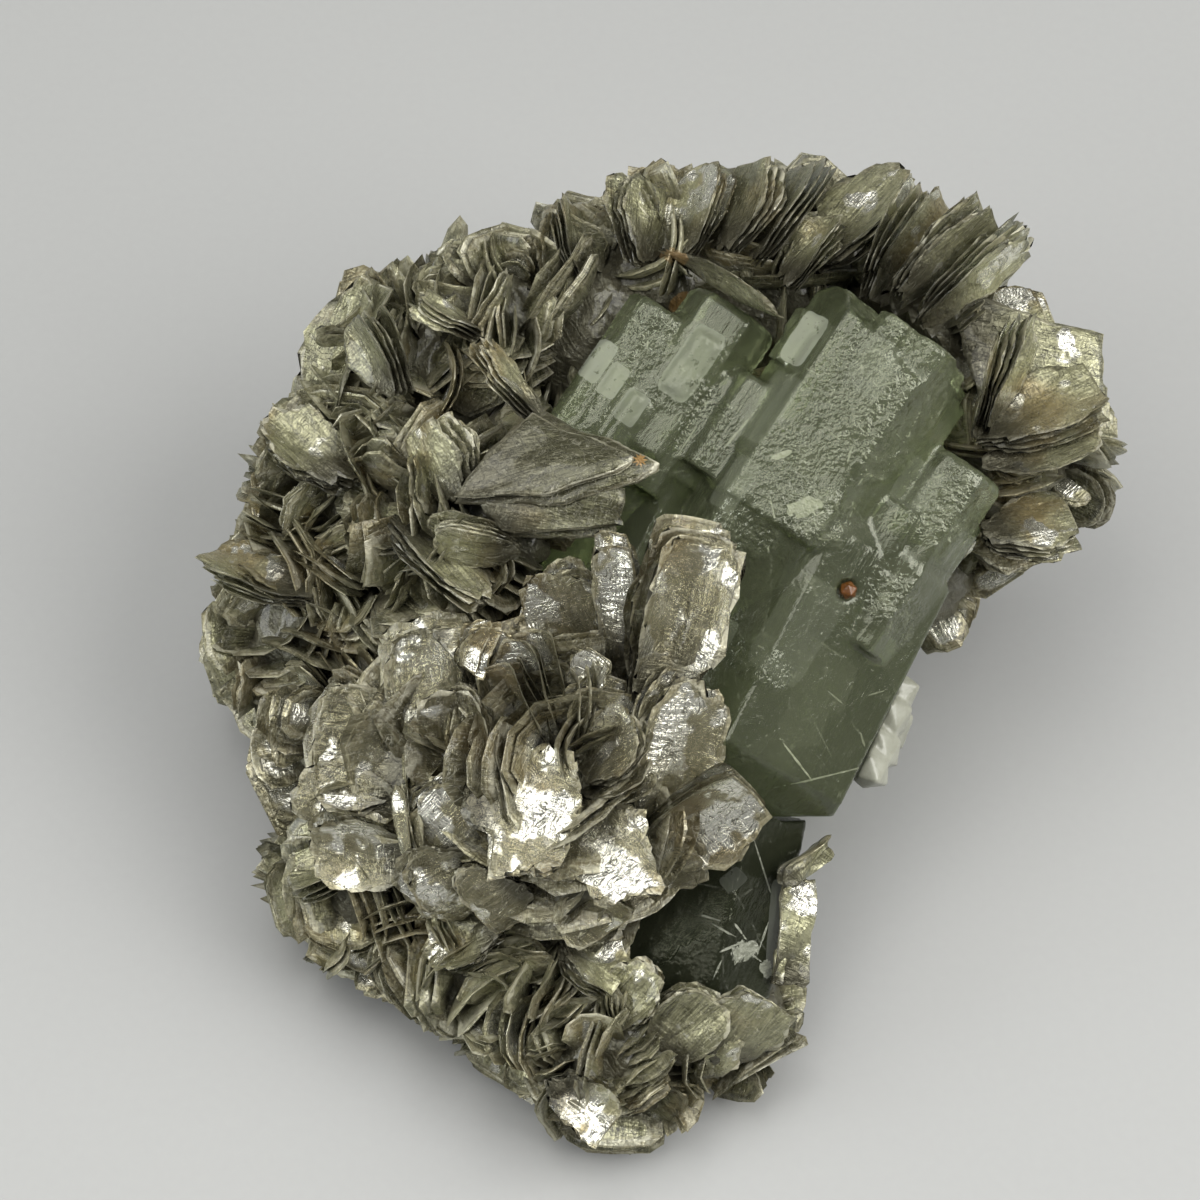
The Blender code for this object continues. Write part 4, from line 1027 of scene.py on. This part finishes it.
# crystals: the solids' faces and more growth steps grown together, then etched where they are granular
aquamarine = {
    "tint": (0.37, 0.405, 0.25), "cloud": (0.25, 0.28, 0.16), "frost": (0.26, 0.27, 0.19),
    # facet: the grey of the smooth facets, which with one flat normal paints their pale reflection
    "facet": (0.130, 0.134, 0.126),
    "ior": 1.577, "transmission": 0.86, "absorb": (0.50, 0.57, 0.32), "density": 44.0, "shine": (0.88, 0.90, 0.78),
    "flat": prismFrame(mainPrisms[-1])[3],  # the way the pale facets face
    "haze": 0.12, "breaks": 0.7, "grain": 0.355, "steps": 60, "rise": (0.05, 0.30),
    # slanting tips cut off the solid's flat ones: the way each looks and a point on it
    "tips": [((0.70, 0.66, 0.30), (30.8, 26.6, 6.0)), ((-0.55, 0.62, 0.40), (2.0, 29.8, 3.4))],
    # prisms in the valleys between the fingers: start, end, across, out, radius, growth
    "fills": [
        (8.0, 22.5, -5.6, 4.6, 4.6, fingerAxis), (4.0, 15.5, -9.4, 2.6, 4.4, fingerAxis),
        (-1.0, 14.5, -14.6, 1.0, 3.4, fingerAxis), (1.0, 13.6, -20.2, 1.2, 3.2, fingerAxis),
        (-2.5, 13.0, 9.2, 3.0, 4.4, fingerAxis), (-1.0, 16.0, 14.6, 0.4, 3.2, fingerAxis),
    ],
    # slopes from the fingers' lower ends: a prism, and how far its lower end drops
    "slopes": [
        ((-9.0, 5.5, -1.0, 2.2, 9.7, fingerAxis), 4.8), ((-8.0, 6.0, 4.4, 2.6, 6.0, fingerAxis), 4.0),
        ((-2.0, 8.0, -6.4, 2.2, 5.0, fingerAxis), 3.6), ((-9.0, 0.5, 11.6, 1.7, 5.0, fingerAxis), 4.0),
        ((-5.0, 4.0, -12.4, 0.0, 4.2, fingerAxis), 3.6), ((-6.0, 3.4, -17.2, -0.4, 5.2, fingerAxis), 3.4),
        ((-8.0, 0.0, -22.4, 0.4, 4.4, fingerAxis), 3.4),
    ],
    # spots on the show face: u, v, half width, half height, turn in degrees, strength
    "etched": [
        (22.0, 8.8, 4.6, 3.0, 15.0, 1.0), (18.2, 14.6, 4.6, 3.4, 56.0, 0.6), (27.0, 20.6, 8.0, 7.0, 56.0, 0.55),
        (4.6, 27.0, 5.0, 4.0, 56.0, 0.5), (36.0, 10.4, 4.6, 4.4, 20.0, 0.8), (31.0, -0.6, 3.4, 2.6, 130.0, 0.9),
        (16.6, -6.4, 3.6, 2.0, 145.0, 0.6), (30.5, 29.0, 6.0, 2.2, -40.0, 0.9),
        (30.0, 14.0, 4.0, 1.6, 20.0, 0.8), (11.0, 17.0, 4.0, 3.0, 56.0, 0.5), (16.0, 8.0, 6.0, 4.0, 30.0, 0.7),
        (12.0, -1.0, 4.0, 3.0, 60.0, 0.3), (8.0, 22.0, 3.0, 6.0, 56.0, 0.4), (-2.0, 20.0, 4.0, 3.0, 56.0, 0.35),
    ],
    "cracks": [
        (20.4, -16.6, 0.11, 2.7, 38.0, 0.7), (27.6, -14.6, 0.1, 0.8, 20.0, 0.4),
        (24.6, -10.2, 0.08, 1.1, 50.0, 0.35), (28.9, -9.8, 0.9, 0.08, 15.0, 0.4),
        (14.6, 17.8, 0.12, 2.6, -40.0, 0.6), (9.2, 16.8, 0.1, 2.0, -33.0, 0.6),
        (24.5, -18.3, 5.8, 0.09, 12.0, 0.5), (11.6, -2.9, 1.9, 1.3, 60.0, 0.4),
        (18.6, 14.9, 1.1, 0.3, 20.0, 0.7), (21.2, 9.6, 2.0, 0.9, 12.0, 0.7),
        (23.0, -14.0, 0.06, 3.2, 28.0, 0.25),
    ],
    # smooth facets, painted as flat pale patches: a painted reflection
    "facets": [
        (-0.2, 25.2, 2.4, 1.2, 56.0, 1.0), (1.4, 23.0, 1.9, 1.1, 56.0, 0.85), (3.3, 20.2, 1.9, 1.3, 56.0, 0.6),
        (9.6, 24.8, 4.2, 1.9, 56.0, 0.7), (21.2, 27.2, 3.0, 1.35, 56.0, 0.95),
        (12.6, -3.6, 1.9, 1.2, 60.0, 0.35), (20.4, -3.0, 5.6, 3.2, 58.0, 0.18),
        (28.0, 24.0, 3.0, 2.0, 56.0, 0.25), (14.0, 12.0, 3.0, 1.4, 56.0, 0.3),
        (17.6, 20.0, 4.0, 1.6, 56.0, 0.25), (33.0, 12.0, 2.6, 2.0, 56.0, 0.3),
    ],
}


def latticeNoise(points, size, salt):
    # random values, -1 to 1, at the corners of a cubic lattice of that size, eased between
    spot = points / size + 0.37 * salt
    cell = np.floor(spot)
    part = spot - cell
    part = part * part * (3.0 - 2.0 * part)
    cell = cell.astype(np.int64)
    total = np.zeros(len(points))
    for corner in np.ndindex(2, 2, 2):
        mixed = ((cell + corner) @ np.array((73856093, 19349663, 83492791)) + salt * 40503) % 4294967296
        mixed = (mixed ^ (mixed >> 13)) * 1274126177 % 4294967296
        mixed = (mixed ^ (mixed >> 16)) % 65536
        total += np.where(corner, part, 1.0 - part).prod(axis=1) * (mixed / 32767.5 - 1.0)
    return total


def spotShare(spot, fray, spots):
    # as spotMask, with wider soft edges
    rows = np.array(spots)
    cosine, sine = np.cos(np.radians(rows[:, 4])), np.sin(np.radians(rows[:, 4]))
    offset = spot[:, None, :2] - rows[:, :2]
    along = (offset[..., 0] * cosine + offset[..., 1] * sine) / rows[:, 2]
    across = (offset[..., 1] * cosine - offset[..., 0] * sine) / rows[:, 3]
    share = np.clip((1.4 - along**2 - across**2 - fray[:, None]) / 0.9, 0.0, 1.0)
    return (share * share * (3.0 - 2.0 * share) * rows[:, 5]).max(axis=1)


def crystalPaint(name, look):
    # cloudy clear crystal, frosted and finely pitted where it is etched; its smooth facets are painted flat and
    # pale, a painted reflection
    paint = Paint(name, look["tint"])
    u, v, w = facePlace(paint)
    etch = paint.field("etch")
    pitted = paint.noise(paint.place, 900.0, 3.0, 0.7)
    broad = paint.noise(paint.place, 120.0, 3.0, 0.6)
    wisps = paint.noise(paint.place, 330.0, 4.0, 0.72, 1.4)
    fine = paint.noise(paint.place, 1600.0, 2.0, 0.6)
    flakes = paint.noise(paint.place, 620.0, 3.0, 0.75, 1.0)
    frosted = etch * etch * paint.smooth(flakes + pitted * 0.5, 0.66, 1.0) * 0.45
    frosted = paint.smooth(wisps, 0.58, 0.72) * look["haze"] + frosted
    frosted = paint.maths("MAXIMUM", frosted, spotMask(paint, u, v, (wisps - 0.5) * 5.0, look["cracks"]))
    frosted = paint.maths("MINIMUM", frosted, 0.92)
    lines = paint.noise(paint.bundle(u * 0.9 - v * 0.6, (u * 0.6 + v * 0.9) * 0.05, w * 0.9), 2.2, 2.0, 0.6)
    angular = paint.stretch(paint.place, (1.0, 1.0, 0.6), (0.003, 0.001, 0.002))
    zones = paint.add("ShaderNodeTexVoronoi", None, {"Vector": angular, "Scale": 190.0}, output="Color")
    breaks = paint.cells(angular, 190.0, "DISTANCE_TO_EDGE")
    breaks = paint.smooth(breaks + (fine - 0.5) * 0.05, 0.028, 0.004)
    breaks = breaks * paint.smooth(wisps, 0.50, 0.58) * (0.25 + etch)
    frosted = paint.maths("MAXIMUM", frosted, paint.maths("MINIMUM", breaks * look["breaks"], 0.8))
    colour = paint.blend(paint.smooth(broad * 0.6 + zones * 0.4, 0.3, 0.7), look["tint"], look["cloud"])
    roughness = 0.08 + 0.16 * broad
    shards = paint.cells(paint.place, 1500.0) + paint.cells(paint.place, 3200.0) * 0.5
    normal = paint.bump(pitted * 0.45 + broad + lines * 0.4, 0.25, 0.0005)
    normal = paint.bump(shards * (etch * 0.38 + 0.05), 0.9, 0.0005, normal)
    roughness = roughness - etch * 0.12
    clear = paint.shader({
        "Base Color": colour, "Roughness": roughness, "Normal": normal, "IOR": look["ior"],
        "Transmission Weight": look["transmission"], "Specular Tint": look["shine"],
    })
    rough = paint.bump(pitted + fine * 0.6, 0.9, 0.0007)
    frost = paint.shader({
        "Base Color": paint.blend(fine, look["cloud"], look["frost"]), "Roughness": 0.36, "Normal": rough,
        "IOR": look["ior"],
    })
    # painted reflection: the smooth facets get an opaque grey shader with one flat normal, so they read as pale
    # flat reflections
    facet = spotMask(paint, u, v, (wisps - 0.5) * 1.4, look["facets"], True)
    facet = facet * (0.8 - paint.smooth(pitted, 0.58, 0.70) * 0.6)
    pale = paint.shader({
        "Base Color": paint.blend(broad, look["cloud"], look["facet"]), "Roughness": 0.35, "IOR": look["ior"],
        "Specular IOR Level": 0.22, "Normal": paint.bundle(*look["flat"].tolist()),
    })
    smooth = paint.add("ShaderNodeMixShader", None, {0: facet, 1: clear, 2: pale})
    surface = paint.add("ShaderNodeMixShader", None, {0: frosted, 1: smooth, 2: frost})
    absorb = paint.add("ShaderNodeVolumeAbsorption", None, {"Color": look["absorb"], "Density": look["density"]})
    return paint.finish(surface, absorb)


def prismSkin(prism, drop=0.0):
    # six corners at three heights, closed on a point at each end; the lower end may drop to make a slope
    middle, along, side, front = prismFrame(prism)
    start, end, _, _, radius, _ = prism
    angles = np.radians(60.0 * np.arange(6) + 30.0)
    around = np.cos(angles)[:, None] * front + np.sin(angles)[:, None] * side
    foot = middle + start * along - drop * front
    tip = middle + end * along
    rings = [foot + radius * around, tip - 0.12 * radius * along + radius * around, tip + 0.86 * radius * around]
    triangles, quads = closedGrid(3, 6)
    return np.concatenate([[foot], *rings, [tip]]), triangles, quads


def growthSteps(look):
    # fills, slopes and low parallel prisms on the fingers' visible faces, each a finger's own axis moved
    # across by the face's slide and out by its lift
    skins = [prismSkin(prism) for prism in look["fills"]]
    skins += [prismSkin(prism, drop) for prism, drop in look["slopes"]]
    count = look["steps"]
    pickFace, slide, begin, long, size, lift = (0.5 + 0.5 * shake(count, 400 + k) for k in range(6))
    fingers = [prism for prism in mainPrisms if prism[5] is fingerAxis]
    roll = math.radians(fingerAxis["roll"])
    for k in range(count):
        low, high, across, out, radius, growth = fingers[k % len(fingers)]
        turned = roll + math.radians(60.0 * round(2.4 * pickFace[k] - 1.2))
        stepRadius = (0.12 + 0.26 * size[k]) * radius
        lifted = (radius - stepRadius) * hexFlat + look["rise"][0] + (look["rise"][1] - look["rise"][0]) * lift[k]
        slid = (slide[k] - 0.5) * 0.8 * radius
        first = low + (high - low) * (0.1 + 0.7 * begin[k])
        last = min(first + (0.2 + 0.4 * long[k]) * (high - low), high - 0.25)
        across = across + math.cos(turned) * slid + math.sin(turned) * lifted
        out = out + math.cos(turned) * lifted - math.sin(turned) * slid
        skins.append(prismSkin((first, last, across, out, stepRadius, growth)))
    return skins


def crystalCopy(name, node, look, paint):
    # the solid's merged faces with slanting tips, and the steps, as one closed voxel skin; each point
    # then moves along its normal by the etched grain and by faint growth lines along the fingers
    work = bmesh.new()
    work.from_mesh(bpy.data.objects[node].data)
    bmesh.ops.remove_doubles(work, verts=work.verts, dist=2e-6)
    for facing, point in look["tips"]:
        cut = bmesh.ops.bisect_plane(work, geom=work.verts[:] + work.edges[:] + work.faces[:], dist=1e-7,
                                     plane_co=Vector(onFace(point) * mm), plane_no=Vector(toward(facing)),
                                     clear_outer=True)
        rim = [part for part in cut["geom_cut"] if isinstance(part, bmesh.types.BMEdge)]
        bmesh.ops.holes_fill(work, edges=rim)
    rough = bpy.data.meshes.new(name)
    for points, triangles, quads in growthSteps(look):
        step = bpy.data.meshes.new("growthStep")
        step.from_pydata((points * mm).tolist(), [], triangles.tolist() + quads.tolist())
        work.from_mesh(step)
        bpy.data.meshes.remove(step)
    work.to_mesh(rough)
    work.free()
    made = place(bpy.data.objects.new(name, rough), paint)
    skin = made.modifiers.new("oneSkin", "REMESH")
    skin.mode, skin.voxel_size = "VOXEL", look["grain"] * mm
    soft = made.modifiers.new("softEdges", "SMOOTH")
    soft.factor, soft.iterations = 0.5, 2
    mesh = bpy.data.meshes.new_from_object(made.evaluated_get(bpy.context.evaluated_depsgraph_get()))
    made.modifiers.clear()
    made.data = mesh
    mesh.materials.clear()
    mesh.materials.append(paint)
    points, normals = np.empty(3 * len(mesh.vertices), np.float32), np.empty(3 * len(mesh.vertices), np.float32)
    mesh.vertices.foreach_get("co", points)
    mesh.vertices.foreach_get("normal", normals)
    points, normals = points.reshape(-1, 3) / mm, normals.reshape(-1, 3)
    spot = (points - faceCentre) @ faceAxes.T
    etch = smooth = np.zeros(len(points))
    if look["etched"]:
        fray = 0.5 * latticeNoise(points, 3.0, 3) + 0.5 * latticeNoise(points, 1.2, 4)
        etch, smooth = spotShare(spot, fray, look["etched"]), spotShare(spot, etch, look["facets"])
    angle = math.radians(fingerAxis["axis"])
    along = spot[:, 0] * math.cos(angle) + spot[:, 1] * math.sin(angle)
    across = spot[:, 0] * math.sin(angle) - spot[:, 1] * math.cos(angle)
    grown = latticeNoise(np.stack([across / 0.55, along / 7.0, spot[:, 2] / 0.55], axis=1), 1.0, 6)
    grain = 0.6 * latticeNoise(points, 1.2, 7) + 0.5 * latticeNoise(points, 0.75, 8)
    etch = etch * (1.0 - 0.8 * smooth)
    relief = etch * (0.10 * grain + 0.10 * latticeNoise(points, 2.4, 9)) + 0.02 * grown * (1.0 - smooth)
    relief = relief + (1.0 - etch) * 0.02 * latticeNoise(points, 1.6, 10) - 0.05
    points = points + normals * relief[:, None]
    mesh.vertices.foreach_set("co", (points * mm).astype(np.float32).ravel())
    mesh.attributes.new("etch", "FLOAT", "POINT").data.foreach_set("value", etch.astype(np.float32))
    mesh.polygons.foreach_set("use_smooth", np.ones(len(mesh.polygons), bool))
    mesh.update()
    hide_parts(node)
    print(node, "triangles", len(mesh.loops) - 2 * len(mesh.polygons))
    return made


mainCrystal = crystalCopy("aquamarineMain", "aquamarine_main", aquamarine, crystalPaint("aquamarine", aquamarine))
plain = {"tips": [], "fills": [], "slopes": [], "steps": 0, "etched": [], "facets": []}
# painted shade: the lower crystal gets a darker tint, far denser absorption and dimmer reflections than the main
# one, for the shade it lies in
shadedAquamarine = {
    **aquamarine, **plain,
    "tint": (0.13, 0.145, 0.085), "cloud": (0.07, 0.08, 0.044), "frost": (0.42, 0.43, 0.35), "haze": 0.02,
    "transmission": 0.88, "absorb": (0.36, 0.46, 0.24), "density": 480.0, "shine": (0.34, 0.35, 0.27),
    "flat": prismFrame(lowerPrisms[0])[3], "grain": 0.40,
    "cracks": [
        (14.0, -36.4, 1.6, 0.14, 20.0, 0.8), (15.0, -35.2, 0.14, 1.5, 35.0, 0.8),
        (16.2, -37.6, 1.3, 0.12, -40.0, 0.7), (13.2, -34.8, 0.12, 1.6, 60.0, 0.7),
        (15.4, -36.9, 1.7, 1.3, 30.0, 0.8), (17.2, -36.0, 0.12, 1.8, -20.0, 0.7),
        (11.6, -33.4, 1.0, 0.1, -15.0, 0.5), (16.9, -27.4, 0.08, 3.4, 18.0, 0.6),
        (17.6, -39.2, 0.7, 0.9, 10.0, 0.7), (12.4, -38.6, 1.1, 0.12, 65.0, 0.6),
    ],
    # painted reflection: a long pale strip and a small pale patch on the smooth faces
    "facets": [
        (18.8, -34.4, 0.95, 4.7, -4.0, 0.8), (14.0, -29.4, 1.3, 1.0, 40.0, 0.6),
    ],
}
lowerCrystal = crystalCopy("aquamarineLower", "aquamarine_lower", shadedAquamarine,
                           crystalPaint("shadedAquamarine", shadedAquamarine))
print("crystals ready")


def grainPaint(name, look):
    # two colours and a low relief, both by one noise of the place
    paint = Paint(name)
    grain = paint.noise(paint.place, look["scale"], 4.0, 0.6)
    return paint.finish(paint.shader({
        "Base Color": paint.blend(grain, look["first"], look["second"]), "Roughness": look["roughness"],
        "Normal": paint.bump(grain, 0.4, 0.0003), "Transmission Weight": look["glassy"],
    }))


garnet = {
    **plain, "grain": 0.10, "first": (0.24, 0.085, 0.014), "second": (0.05, 0.022, 0.007), "scale": 1400.0,
    "roughness": 0.25, "glassy": 0.3,
}
crystalCopy("garnetGrain", "garnet_grain", garnet, grainPaint("garnet", garnet))
albite = {
    **plain, "grain": 0.30, "first": (0.17, 0.17, 0.13), "second": (0.38, 0.385, 0.32), "scale": 600.0,
    "roughness": 0.3, "glassy": 0.0,
}
crystalCopy("albiteCrust", "albite", albite, grainPaint("albite", albite))
print("grains ready")

floorHalf = studio["floorHalf"]
floorMesh = bpy.data.meshes.new("paperFloor")
floorMesh.from_pydata([(-floorHalf, -floorHalf, 0), (floorHalf, -floorHalf, 0), (floorHalf, floorHalf, 0),
                       (-floorHalf, floorHalf, 0)], [], [(0, 1, 2, 3)])
floor = bpy.data.objects.new("paperFloor", floorMesh)
floorMesh.materials.append(floorPaint())
bpy.context.scene.collection.objects.link(floor)
print("floor laid")
